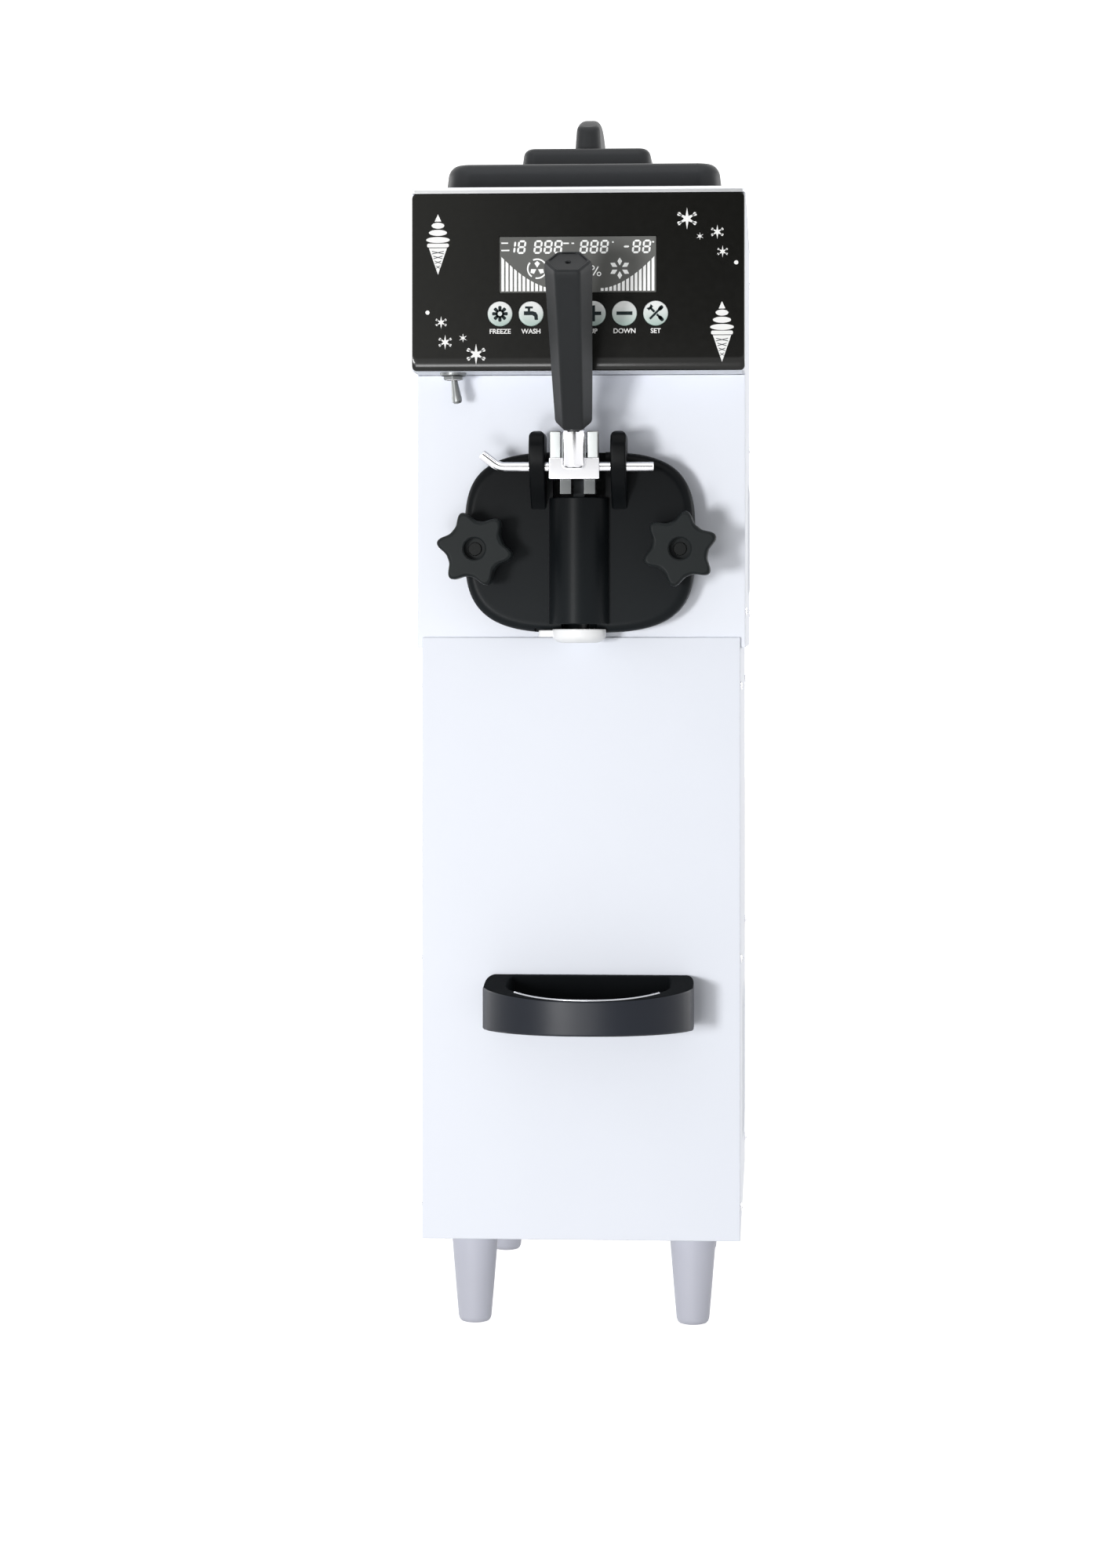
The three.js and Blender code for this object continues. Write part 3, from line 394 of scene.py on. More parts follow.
def turned(name, axis, centre, profile, sides=64, closed=False):
    """A turned piece from (along, radius) pairs about an axis through centre."""
    rings = []
    for along_axis, radius in profile:
        ring = []
        for u, v in circle(0, 0, max(radius, 1e-5), sides):
            local = {"x": (along_axis, u, v), "y": (v, along_axis, u), "z": (u, v, along_axis)}[axis]
            ring.append(Vector(local) + Vector(centre))
        rings.append(ring)
    return stacked(name, rings, closed)


def rod(name, axis, centre, start, end, radius, sides):
    """A plain cylinder between two places on its axis."""
    return turned(name, axis, centre, [(start, 0), (start, radius), (end, radius), (end, 0)], sides)


def in_mm(*pairs):
    return [(a * MM, b * MM) for a, b in pairs]


def bevel(obj, width, segments=3, angle=30.0):
    modifier = obj.modifiers.new("bevel", "BEVEL")
    modifier.width = width
    modifier.segments = segments
    modifier.limit_method = "ANGLE"
    modifier.angle_limit = math.radians(angle)
    modifier.harden_normals = False
    return obj


def shade(mesh, smooth=35.0):
    mesh.polygons.foreach_set("use_smooth", [True] * len(mesh.polygons))
    mesh.set_sharp_from_angle(angle=math.radians(smooth))


def bake(obj):
    """Applies the modifiers to the mesh."""
    evaluated = obj.evaluated_get(bpy.context.evaluated_depsgraph_get())
    mesh = bpy.data.meshes.new_from_object(evaluated)
    obj.modifiers.clear()
    obj.data = mesh
    shade(mesh)
    return obj


def combine(obj, tool, operation):
    """Joins, cuts or intersects with another solid, and removes that one."""
    modifier = obj.modifiers.new("boolean", "BOOLEAN")
    modifier.operation = operation
    modifier.solver = "EXACT"
    modifier.object = tool
    bpy.context.view_layer.update()
    bake(obj)
    bpy.data.objects.remove(tool, do_unlink=True)
    return obj


def cut(obj, *tools):
    for tool in tools:
        combine(obj, tool, "DIFFERENCE")
    return obj


def gathered(name, objects):
    """Several closed pieces in one mesh, modifiers applied."""
    bm = bmesh.new()
    for obj in objects:
        bake(obj)
        bm.from_mesh(obj.data)
        bpy.data.objects.remove(obj, do_unlink=True)
    return to_object(bm, name)


def even_shading(obj):
    """Keeps large faces evenly shaded where they meet small rounded edges."""
    modifier = obj.modifiers.new("even_shading", "WEIGHTED_NORMAL")
    modifier.mode = "FACE_AREA"
    modifier.keep_sharp = True


def dress(obj, body, slot, replaces=(), look=None):
    """Gives a piece the material of its look, or else of its slot, and the body that it rides on."""
    even_shading(obj)
    obj.data.materials.clear()
    obj.data.materials.append(MATERIALS[look or slot])
    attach(obj, body)
    if replaces:
        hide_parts(*replaces)
    return obj


# ---- casing
def dress_cad_nodes():
    """Every CAD node gets its slot's material, except the lower front panel, which gets a slightly darker
    copy of the white paint as painted shade; the sheet metal gets a small rounded fold.
    """
    folded = ("panel", "cover", "casing", "pan", "post", "shelf")
    for name, obj in frame["nodes"].items():
        # painted shade on the lower front panel
        look = "cabinet_painted_shade" if name == "lower_front_panel" else SLOT_OF[name]
        obj.data.materials.clear()
        obj.data.materials.append(MATERIALS[look])
        if any(word in name for word in folded):
            weld = obj.modifiers.new("weld", "WELD")
            weld.merge_threshold = 1e-5
            bevel(obj, 0.7 * MM, 2, 40)
            even_shading(obj)


def louvre_hoods(name, plane, level, out, centres, slot_z, width, rise=1.1 * MM):
    """Pressed hoods over a row of upright slots: half-round ribs closed at both ends."""
    bm = bmesh.new()
    past_slot = 3 * MM
    z0, length = slot_z[0] - past_slot, slot_z[1] - slot_z[0] + 2 * past_slot
    for centre in centres:
        rings = []
        for t, size in ((0, 0.15), (0.03, 0.75), (0.08, 1), (0.92, 1), (0.97, 0.75), (1, 0.15)):
            z = z0 + length * t
            ring = []
            for i in range(9):
                a = math.pi * i / 8
                u = centre - 1.5 * MM + width * math.cos(a) * (0.6 + 0.4 * size)
                depth = level + out * math.sin(a) * rise * size
                ring.append((depth, u, z) if plane == "yz" else (u, depth, z))
            rings.append([Vector(p) for p in ring])
        skin(bm, rings)
    dress(to_object(bm, name), "machine", "white_paint")


def screw_heads(name, places, axis, out):
    """Domed screw heads, each with a black cross set into it that stands in for the shade in its drive
    recess, at points on a flat face.
    """
    dome = in_mm((-0.2, 0), (0, 3.6), (0.5, 3.6), (1.3, 2.7), (1.7, 1.2), (1.75, 0))
    profile = [(out * a, r) for a, r in dome]
    heads = [turned("head", axis, place, profile, 24) for place in places]
    dress(gathered(name, heads), "machine", "polished_steel")
    bm = bmesh.new()
    plane = "yz" if axis == "x" else "xz"
    for place in places:
        u, v, level = (place[1], place[2], place[0]) if axis == "x" else (place[0], place[2], place[1])
        # painted shade: black bars in place of the cross recess
        for degrees in (45, 135):
            outline = bar(u, v, 3.2 * MM, 0.8 * MM, degrees)
            skin(bm, [lift(outline, plane, level + out * MM), lift(outline, plane, level + out * 1.8 * MM)])
    dress(to_object(bm, f"{name}_recess_shade"), "machine", "enamel_black")


def casing_details():
    """Slot hoods and screw heads on both sides and the back."""
    near_front, near_rear = BODY_FRONT + 14 * MM, REAR - 14 * MM
    upper_rows = evenly(202.5 * MM, 14 * MM, 8)
    lower_rows = evenly(133 * MM, 16 * MM, 9)
    for side, face, out in (("right", high, 1), ("left", low, -1)):
        x_up, x_low = face(f"upper_{side}_cover", X), face(f"lower_{side}_panel", X)
        louvre_hoods(f"upper_{side}_louvres", "yz", x_up, out, upper_rows, UPPER_SLOTS, 3.6 * MM)
        louvre_hoods(f"lower_{side}_louvres", "yz", x_low, out, lower_rows, LOWER_SLOTS, 4.2 * MM)
        points = [(x_up, near_rear, z) for z in (0.58, 0.73, 0.88)] + [(x_up, near_front, 0.58)]
        points += [(x_low, y, z) for y in (near_front, near_rear) for z in (0.1, 0.3, 0.52)]
        screw_heads(f"{side}_cover_screws", points, "x", out)
    for level, count, slots in (("lower", 11, LOWER_REAR_SLOTS), ("upper", 9, UPPER_SLOTS)):
        rows = evenly(0, 17 * MM, count)
        louvre_hoods(f"rear_{level}_louvres", "xz", REAR, 1, rows, slots, 4.2 * MM, 3 * MM)
    points = [(x, REAR, z) for x in (-0.115, 0.115) for z in (0.135, 0.33, 0.57, 0.74, 0.89)]
    screw_heads("rear_panel_screws", points, "y", 1)


def top_deck():
    """Stainless deck: rolled front edge, hopper opening, folded skirt."""
    (x0, y0, z0), (x1, y1, z1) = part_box("top_deck")
    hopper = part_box("hopper")
    lap, sheet = 10 * MM, 1.5 * MM
    opening = rounded_rect(hopper[0][X] + lap, hopper[1][X] - lap, hopper[0][Y] + lap, hopper[1][Y] - lap,
        3 * MM, 6)

    def edge(inset, z):
        inset *= MM
        corner = max(3 * MM - inset, 0.4 * MM)
        return lift(rounded_rect(x0 + inset, x1 - inset, y0 + inset, y1 - inset, corner, 6), "xy", z)

    layers = [edge(0, z0), edge(0, z1 - 2.4 * MM), edge(0.7, z1 - 0.7 * MM), edge(2.4, z1),
        lift(opening, "xy", z1), lift(opening, "xy", z1 - sheet),
        edge(2.6, z1 - sheet), edge(1.6, z1 - 2.6 * MM), edge(1.6, z0)]
    obj = stacked("top_deck_sheet", layers, closed=True)
    dress(obj, "machine", "brushed_steel", ["top_deck"])


def legs():
    profile = in_mm((0, 0), (0, 9.2), (0.6, 11.1), (2.2, 12.6), (4.6, 13.4), (30, 15.6), (70, 18.8),
        (72.6, 18.9), (74.3, 17.6), (74.5, 0))
    for depth in ("front", "rear"):
        for side in ("left", "right"):
            node = f"leg_{depth}_{side}"
            centre = (middle(node, X), middle(node, Y), 0)
            dress(turned(f"{node}_shell", "z", centre, profile), "machine", "leg_grey", [node])


# ---- control head
def fascia():
    """Gloss panel with a rolled edge, broad at the foot; openings for the display and the buttons."""
    (x0, front, z0), (x1, back, z1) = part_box("control_fascia")
    shoulder = back - 0.6 * MM

    def face(side, foot, corner, y):
        return lift(rounded_rect(x0 + side, x1 - side, z0 + foot, z1 - side, corner, 8), "xz", y)

    layers = [face(0, 0, 3.8 * MM, back)]
    for a in quarter(7):
        inset = 1 - math.cos(a)
        y = shoulder - (shoulder - front) * math.sin(a)
        layers.append(face(0.7 * MM * inset, 9.5 * MM * inset, 3.8 * MM, y))
    layers.append(face(1.7 * MM, 10.5 * MM, 3 * MM, front))
    obj = stacked("fascia_panel", layers, smooth=25)
    past, margin = 0.01, 0.25 * MM
    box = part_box("display_module")
    window = block("window", (box[0][X] - margin, box[1][X] + margin), (front - past, back + past),
        (box[0][Z] - margin, box[1][Z] + margin))
    holes = []
    for node in (f"button_{name}" for name in BUTTON_NAMES):
        centre = (middle(node, X), 0, middle(node, Z))
        holes.append(rod("hole", "y", centre, front - past, back + past, BUTTON_HOLE, 48))
    cut(obj, window, gathered("holes", holes))
    dress(obj, "machine", "gloss_black", ["control_fascia"])


def star_outline(radius, inner, points=6):
    out = []
    for i in range(points * 2):
        reach = inner if i % 2 else radius
        a = math.radians(90 + 180 * i / points)
        out.append((reach * math.cos(a), reach * math.sin(a)))
    return out


def snowflake(cu, cv, radius):
    """A six-pointed star, its slanting arms ending in a broad fork; a small one is a plain dot."""
    if radius < 2.5 * MM:
        return [circle(cu, cv, radius, 16)]
    shapes = [placed(star_outline(radius, radius * 0.27), cu, cv)]
    if radius > 4 * MM:
        half = [(0.1, 0.98), (0.19, 0.86), (0.05, 0.55)]
        fork = [(-u, v) for u, v in half[::-1]] + [(0, 0.88)] + half
        shapes += [placed(fork, cu, cv, radius, turn) for turn in (60, 120, 240, 300)]
    return shapes


def cone_decal(cu, cv, height):
    """A plain pictogram of a filled cone, as (white, dark) outlines: three level tiers, a pointed tip,
    a rim and a cross-hatched wafer. It is the same on both sides, and not the maker's print."""
    wafer_half, wafer_top = 0.15, 0.44
    rim = wafer_half + 0.03
    white = [[(-wafer_half, wafer_top), (0, 0), (wafer_half, wafer_top)],
        rounded_rect(-rim, rim, wafer_top + 0.012, wafer_top + 0.075, 0.025, 4),
        [(-0.055, 0.878), (0.055, 0.878), (0, 1.0)]]
    for tier in range(3):
        white.append(squircle(0, 0.575 + 0.118 * tier, 0.195 - 0.045 * tier, 0.05, 2.0, 32))
    dark = []
    for row in range(4):
        level = 0.36 - 0.08 * row
        half = wafer_half * level / wafer_top * 0.8
        for lean in (-0.022, 0.022):
            left, right = level - lean, level + lean
            dark.append([(-half, left), (half, right), (half, right + 0.012), (-half, left + 0.012)])
    base = cv - height / 2
    return [[placed(shape, cu, base, height) for shape in group] for group in (white, dark)]


# across from the middle and up from it, in mm; the flakes' third number is their radius
CONES = ((-111, 30), (114, -40))
FLAKES = ((86.4, 49.3, 8.7), (96.6, 35.4, 3.1), (110.3, 38.7, 5.6), (114.5, 23.2, 4.7),
    (125.2, 14.5, 1.7), (-119.3, -24.0, 1.7), (-108.5, -31.8, 5.0), (-105.3, -47.5, 5.9),
    (-91.1, -44.3, 3.7), (-80.7, -57.2, 8.4))


def decals():
    """Generic printed cones, flakes and dots, placed from the fascia's middle."""
    middle_z = middle("control_fascia", Z)
    shapes, lines = [], []
    for u, v in CONES:
        white, dark = cone_decal(u * MM, middle_z + v * MM, 48 * MM)
        shapes += white
        lines += dark
    for u, v, radius in FLAKES:
        shapes += snowflake(u * MM, middle_z + v * MM, radius * MM)
    for name, outlines, back, front, look in (("fascia_print", shapes, 0.05, 0.12, "print_white"),
            ("fascia_print_lines", lines, -0.05, 0.16, "print_black")):
        obj = prisms(name, outlines, "xz", HEAD_FRONT + back * MM, HEAD_FRONT - front * MM)
        dress(obj, "machine", "gloss_black", look=look)


SEGMENTS = {"1": "bc", "8": "abcdefg", "-": "g"}


def digit(character, cu, cv, width=5 * MM, height=9.2 * MM, stroke=1.55 * MM):
    """Slanted seven-segment figure made of hexagonal strokes."""
    slant = 0.12
    half_u, half_v = width / 2, height / 2
    places = {"a": (0, half_v, 0), "g": (0, 0, 0), "d": (0, -half_v, 0),
              "f": (-half_u, half_v / 2, 90), "b": (half_u, half_v / 2, 90),
              "e": (-half_u, -half_v / 2, 90), "c": (half_u, -half_v / 2, 90)}
    shapes = []
    for key in SEGMENTS[character]:
        u, v, turn = places[key]
        length = (width if turn == 0 else half_v) * 0.9
        tip = stroke / 2
        end = length / 2
        core = [(-end, 0), (-end + tip, -tip), (end - tip, -tip), (end, 0), (end - tip, tip),
            (-end + tip, tip)]
        shape = placed(core, u, v, 1.0, turn)
        shapes.append([(cu + p + q * slant, cv + q) for p, q in shape])
    return shapes


def display_shapes():
    """A row of figures with small marks, two falling sets of bars and the symbols."""
    half_x = (high("display_module", X) - low("display_module", X)) / 2
    half_z = (high("display_module", Z) - low("display_module", Z)) / 2
    shapes = []
    row = DISPLAY_Z + half_z - 8.2 * MM
    for text, centre in (("18", -48.5), ("888", -23.5), ("888", 13.0), ("-88", 46.5)):
        for character, place in zip(text, evenly(centre * MM, 8 * MM, len(text))):
            shapes += digit(character, place, row)
    for u, v, w in ((-58, 3.2, 5.5), (-57.5, -2.6, 6.5), (-9.2, 2.8, 4.5), (-4.0, 2.8, 2.0), (27.8, 3.6, 1.2),
                    (59.6, 3.6, 1.6)):
        shapes.append(bar(u * MM, row + v * MM, w * MM, 1.1 * MM))
    count, pitch, half, least = 13, 3.35 * MM, 1.1 * MM, 0.8 * MM
    tallest, power = 24 * MM, 1.7
    floor = DISPLAY_Z - half_z + 1.2 * MM
    for side in (-1, 1):
        for i in range(count):
            t = i / (count - 1)
            height = tallest * (1 - t) ** power + 2.2 * MM
            slope = tallest * power * (1 - t) ** (power - 1) / ((count - 1) * pitch)
            u = side * (half_x - 2.6 * MM - i * pitch)
            left, right = (max(height - side * end * slope * half, least) for end in (1, -1))
            shapes.append([(u - half, floor), (u + half, floor), (u + half, floor + right),
                (u - half, floor + left)])
    return shapes + display_icons()


def display_icons():
    """A beater in a ring, a percent sign and a petalled flake."""
    level = DISPLAY_Z - 3.2 * MM
    shapes = []
    beater = -32.2 * MM
    blade = [(0, 0.8), (2.2, 4.2), (0, 6.2), (-2.2, 4.2)]
    for turn in (0, 120, 240):
        shapes.append(arc_band(beater, level, 6.9 * MM, 8.1 * MM, turn + 20, turn + 115))
        shapes.append(placed(blade, beater, level, MM, turn))
    petal = [(0, 2.2), (1.9, 5.6), (0, 8.6), (-1.9, 5.6)]
    for turn in range(0, 360, 60):
        shapes.append(placed(petal, 33.2 * MM, level, MM, turn))
    shapes.append(bar(14.2 * MM, level - 2 * MM, 0.9 * MM, 8 * MM, -30))
    for u, v in ((11.6, 0.6), (16.8, -4.4)):
        for start in (0, 180):
            shapes.append(arc_band(u * MM, level + v * MM, 1.0 * MM, 1.8 * MM, start, start + 180, 10))
    return shapes


def display():
    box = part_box("display_module")
    points = rounded_rect(box[0][0], box[1][0], box[0][2], box[1][2], 0.8 * MM, 4)
    front = box[0][1]
    glass = prisms("display_glass", [points], "xz", front, box[1][1])
    bevel(glass, 0.3 * MM, 2)
    dress(glass, "machine", "display", ["display_module"])
    obj = prisms("display_segments", display_shapes(), "xz", front + 0.05 * MM, front - 0.1 * MM)
    dress(obj, "machine", "display", look="lit_segment")


def icon_flower():
    petal = [(0, 1.4), (1.15, 2.9), (1.35, 5.6), (0.7, 6.2), (-0.7, 6.2), (-1.35, 5.6), (-1.15, 2.9)]
    hub = [arc_band(0, 0, 1.9, 3.4, start, start + 180) for start in (0, 180)]
    return [placed(petal, 0, 0, 1, turn) for turn in range(0, 360, 45)] + hub


def icon_tap():
    body = [(-5.6, 1.9), (-5.6, -1.2), (-1.2, -1.2), (1.0, -1.2), (2.5, -2.2), (2.9, -5.0), (5.6, -5.0),
        (5.3, -0.9), (3.8, 1.2), (1.2, 1.9)]
    return [body, bar(-1.6, 3.2, 1.9, 2.8), bar(-1.6, 4.9, 6.2, 1.7)]


def icon_cycle():
    head = [(0, -2.4), (3.4, 0), (0, 2.4)]
    shapes = [arc_band(0, 0, 3.9, 5.7, 20, 165, 12), arc_band(0, 0, 3.9, 5.7, 200, 345, 12)]
    return shapes + [placed(head, -4.8, 0.9, 1, -98), placed(head, 4.8, -0.9, 1, 82)]


def icon_plus():
    return [bar(0, 0, 12.6, 2.8), bar(0, 3.85, 2.8, 4.9), bar(0, -3.85, 2.8, 4.9)]


def icon_minus():
    return [bar(0, 0, 12.6, 2.8)]


def icon_tools():
    shapes = [bar(0, 0, 13.0, 1.8, 45), bar(-2.9, 2.9, 5.6, 1.8, -45), bar(2.9, -2.9, 5.6, 1.8, -45)]
    shapes.append(placed([(-2.3, -1.1), (2.3, -1.1), (2.3, 1.6), (0, 0.5), (-2.3, 1.6)], -4.4, 4.4, 1, 45))
    shapes.append(placed(squircle(0, 0, 2.6, 1.5, 3, 14), 4.2, -4.2, 1, -45))
    shapes.append(placed(squircle(0, 0, 2.3, 1.5, 3, 14), 4.0, 4.0, 1, 45))
    return shapes


ICONS = {"freeze": icon_flower, "wash": icon_tap, "auto": icon_cycle, "up": icon_plus, "down": icon_minus,
         "set": icon_tools}


def buttons():
    for name in BUTTON_NAMES:
        node = f"button_{name}"
        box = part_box(node)
        u, v = middle(node, X), middle(node, Z)
        front, back = box[0][1], box[1][1]
        crown = in_mm((0, 0), (0, 7.6), (0.12, 8.9), (0.45, 9.6), (1.1, 9.9))
        profile = [(front + a, r) for a, r in crown] + [(back, 9.9 * MM), (back, 0)]
        cap = turned(f"{node}_cap", "y", (u, 0, v), profile)
        # The cap's button_grey look is painted shade: darker and greener low down, light at its top.
        dress(cap, f"{name}_button", "button_grey", [node])
        shapes = [placed(shape, u, v, MM) for shape in ICONS[name]()]
        icon = prisms(f"{node}_icon", shapes, "xz", front + 0.04 * MM, front - 0.1 * MM)
        dress(icon, f"{name}_button", "button_grey", look="print_black")
        label(name, u, v - LABEL_DROP)


def label(name, u, v):
    """The button's function in plain capitals under it."""
    curve = bpy.data.curves.new(f"label_{name}", "FONT")
    curve.body = name.upper()
    curve.size = LABEL_SIZE
    curve.extrude = 0.08 * MM
    curve.offset = 0.1 * MM
    curve.align_x = curve.align_y = "CENTER"
    text = linked(bpy.data.objects.new(f"label_{name}", curve))
    text.matrix_world = Matrix.Translation((u, HEAD_FRONT, v)) @ Matrix.Rotation(math.pi / 2, 4, "X")
    bpy.context.view_layer.update()
    mesh = bpy.data.meshes.new_from_object(text.evaluated_get(bpy.context.evaluated_depsgraph_get()))
    mesh.transform(text.matrix_world)
    bpy.data.objects.remove(text, do_unlink=True)
    obj = linked(bpy.data.objects.new(f"button_label_{name}", mesh))
    dress(obj, "machine", "gloss_black", look="print_white")


def toggle():
    """Washer, six-sided nut and bush of the switch, and its bat lever."""
    centre = Vector((middle("toggle_switch", X), middle("toggle_switch", Y), low("head_casing", Z)))
    rim = in_mm((0, 4.5), (0, 10.6), (-1.8, 10.6), (-2.4, 9.9), (-2.4, 4.5), (0, 4.5))
    washer = turned("washer", "z", centre, rim, 48)
    nut_radius = 8.5 * MM
    nut = prisms("nut", [placed(star_outline(nut_radius, nut_radius * 0.866), centre.x, centre.y)], "xy",
        centre.z - 2.4 * MM, centre.z - 5.4 * MM)
    bevel(nut, 0.5 * MM, 2)
    barrel = in_mm((2, 0), (2, 6), (-5.4, 6), (-6, 5.4), (-6, 4.4), (-3, 4.2), (-2.8, 0))
    body = gathered("toggle_bush", [washer, nut, turned("bush", "z", centre, barrel, 48)])
    # The bush, nut and washer, and the lever below, get a darker copy of the polished steel as painted shade.
    dress(body, "machine", "polished_steel", look="steel_painted_shade")
    bat = in_mm((-2.6, 0), (-2.6, 2.9), (-6, 2.5), (-16, 3.5), (-20, 4.0), (-23, 3.9), (-24.4, 2.8), (-25, 0))
    lever = turned("toggle_bat", "z", (0, 0, 0), bat, 40)
    lever.data.transform(Matrix.Translation(centre) @ Matrix.Rotation(-math.radians(8), 4, "Y"))
    dress(lever, "power_toggle", "polished_steel", ["toggle_lever"], "steel_painted_shade")


# ---- hopper lid
def lid():
    """Hollow lid: rolled rim, raised step, and a bowed fin for a grip."""
    box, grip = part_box("hopper_lid"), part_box("lid_grip")
    cy = middle("hopper_lid", Y)
    half_x, half_y = (box[1][X] - box[0][X]) / 2, (box[1][Y] - box[0][Y]) / 2
    step_x, step_y = 58 * MM, 82 * MM
    bottom = box[0][Z]
    slab_top = bottom + 27 * MM
    step_top = box[1][Z] + 1.6 * MM

    def layer(inset, z, hx=half_x, hy=half_y, corner=20):
        radius = max(corner * MM - inset, 2 * MM)
        points = rounded_rect(-hx + inset, hx - inset, cy - hy + inset, cy + hy - inset, radius, 10)
        return lift(points, "xy", z)

    def step(inset, z, corner=16):
        return layer(inset, z, step_x, step_y, corner)

    rings = [step(16 * MM, step_top - 4 * MM, 20), step(16 * MM, slab_top - 6 * MM, 20),
        layer(14 * MM, slab_top - 6 * MM), layer(5 * MM, slab_top - 14 * MM), layer(4 * MM, bottom),
        layer(1.0 * MM, bottom), layer(-1.0 * MM, bottom + 1 * MM), layer(-1.2 * MM, bottom + 4 * MM)]
    roll = 11.5 * MM
    rings += [layer(0.3 * MM + 9.5 * MM * (1 - math.cos(a)), slab_top - roll + roll * math.sin(a))
        for a in quarter(8)]
    rings += [step(0, slab_top), step(1.6 * MM, slab_top + 0.5 * MM), step(3.6 * MM, slab_top + 2.4 * MM)]
    roll = 7 * MM
    rings += [step(5.2 * MM + roll * (1 - math.cos(a)), step_top - roll + roll * math.sin(a))
        for a in quarter(6)]
    rings.append(step(13.5 * MM, step_top))
    # The shell's lid_black look is painted shade: darker towards its foot, lighter towards its top.
    dress(stacked("lid_shell", rings), "lid", "charcoal", ["hopper_lid"], "lid_black")

    gx, gy = (grip[1][X] - grip[0][X]) / 2, (grip[1][Y] - grip[0][Y]) / 2
    g0, g1 = grip[0][Z] - 0.5 * MM, grip[1][Z]
    fin = []
    for t, grow in ((0, 4.6), (0.03, 2.0), (0.09, 0.6), (0.2, 0.0), (0.45, -0.4), (0.7, -0.9)):
        draft = min(grow, 0) * MM
        fin.append(fin_ring(gx + draft, gy + draft, cy, g0, g0 + (g1 - g0) * t, max(grow, 0) * MM))
    roll = 8 * MM
    for a in quarter(7):
        shrink = 1.1 * MM + roll * (1 - math.cos(a)) * 0.85
        fin.append(fin_ring(gx - shrink, gy - shrink, cy, g0, g1 - roll + roll * math.sin(a)))
    obj = stacked("lid_grip_fin", fin, smooth=50, folded=True)
    dress(obj, "lid", "charcoal", ["lid_grip"])


def fin_ring(half_x, half_y, cy, base, z, flare=0):
    """One level of the grip; levels above the base bow down towards the two ends."""
    hx, hy = half_x + flare, half_y + flare
    radius = min(hx, hy) * 0.86
    ends = rounded_rect(-hx, hx, cy - hy, cy + hy, radius, 10)
    long_side = [(hx, cy - hy + radius + (hy - radius) * 2 * i / 12) for i in range(1, 12)]
    other_side = [(-u, 2 * cy - v) for u, v in long_side]
    outline = ends[:11] + long_side + ends[11:33] + other_side + ends[33:]
    drop = 12 * MM * (z - base) / (40 * MM)
    return [Vector((u, v, z - drop * ((v - cy) / half_y) ** 2)) for u, v in outline]


# ---- dispensing door
def door():
    """Door plate with its valve boss and two ears, bored for the valve, pin, nozzle and studs."""
    (x0, _, bottom), (x1, back, _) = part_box("dispensing_door")
    cx, half_x, half_z = (x0 + x1) / 2, (x1 - x0) / 2, 72.3 * MM
    cz = bottom + half_z
    front = BODY_FRONT - 30 * MM

    def face(shrink, y):
        return lift(squircle(cx, cz, half_x - shrink, half_z - shrink, 3.3, 120, 3.5), "xz", y)

    rings = [face(1 * MM, back), face(0, back - 1 * MM)]
    roll = 7 * MM
    rings += [face(roll * (1 - math.cos(a)), front + roll - roll * math.sin(a)) for a in quarter(8)]
    rings.append(face(roll + 1.5 * MM, front))
    plate = stacked("door_plate", rings, smooth=25)
    boss = prisms("boss", [boss_outline(23.9 * MM)], "xy", bottom + 7 * MM, BOSS_TOP)
    combine(plate, bake(bevel(boss, 1.0 * MM, 3)), "UNION")
    combine(plate, gathered("ears", [ear(-1, front), ear(1, front)]), "UNION")

    valve = (0, VALVE_Y, 0)
    pocket = block("pocket", (-21 * MM, 21 * MM), (BODY_FRONT - 62 * MM, BODY_FRONT - 9 * MM),
        (BOSS_TOP, 0.74))
    tab = block("tab", (-36 * MM, 0), (VALVE_Y - 7 * MM, VALVE_Y + 7 * MM), NOZZLE_ROOM)
    bore = rod("bore", "z", valve, 0.55, 0.68, 14.4 * MM, 64)
    pin = rod("pin", "x", (0, PIVOT_Y, PIVOT_Z), -0.06, 0.06, 4.4 * MM, 40)
    room = rod("room", "z", valve, *NOZZLE_ROOM, 22.2 * MM, 64)
    studs = [rod("stud", "y", (side * STUD_X, 0, STUD_Z), front - 0.05, back + 0.01, 5.4 * MM, 32)
        for side in (-1, 1)]
    cut(plate, pocket, bore, pin, room, tab, *studs)
    # The plate's door_black look is painted shade: darker towards its top.
    dress(plate, "machine", "satin_black", ["dispensing_door"], "door_black")


def boss_outline(radius):
    """Half-round column outline that runs back into the door plate."""
    root = BODY_FRONT - 5 * MM
    return arc(0, VALVE_Y, radius, 180, 360, 40) + [(radius, root), (-radius, root)]


def ear(side, front):
    """One lug of the pivot clevis: a cheek with a rounded nose that runs down into the door's face."""
    nose, top, corner = BODY_FRONT - 60 * MM, high("dispensing_door", Z), 13 * MM
    points = [(front + 6 * MM, top)] + arc(nose + corner, top - corner, corner, 90, 180, 8)
    for t, z in ((0, 0.7), (0.12, 0.689), (0.4, 0.678), (0.75, 0.669), (1.0, EAR_FOOT)):
        points.append((nose + (front - nose + 1 * MM) * t, z))
    points.append((front + 6 * MM, EAR_FOOT))
    x0, x1 = sorted((side * 26 * MM, side * 38.5 * MM))
    obj = bake(bevel(prisms("ear", [points], "yz", x0, x1), 1.6 * MM, 3))
    shape = rounded_rect(x0, x1, 0.6, top, 5.2 * MM, 8)
    return combine(obj, prisms("crown", [shape], "xz", nose - 0.01, front + 0.02), "INTERSECT")


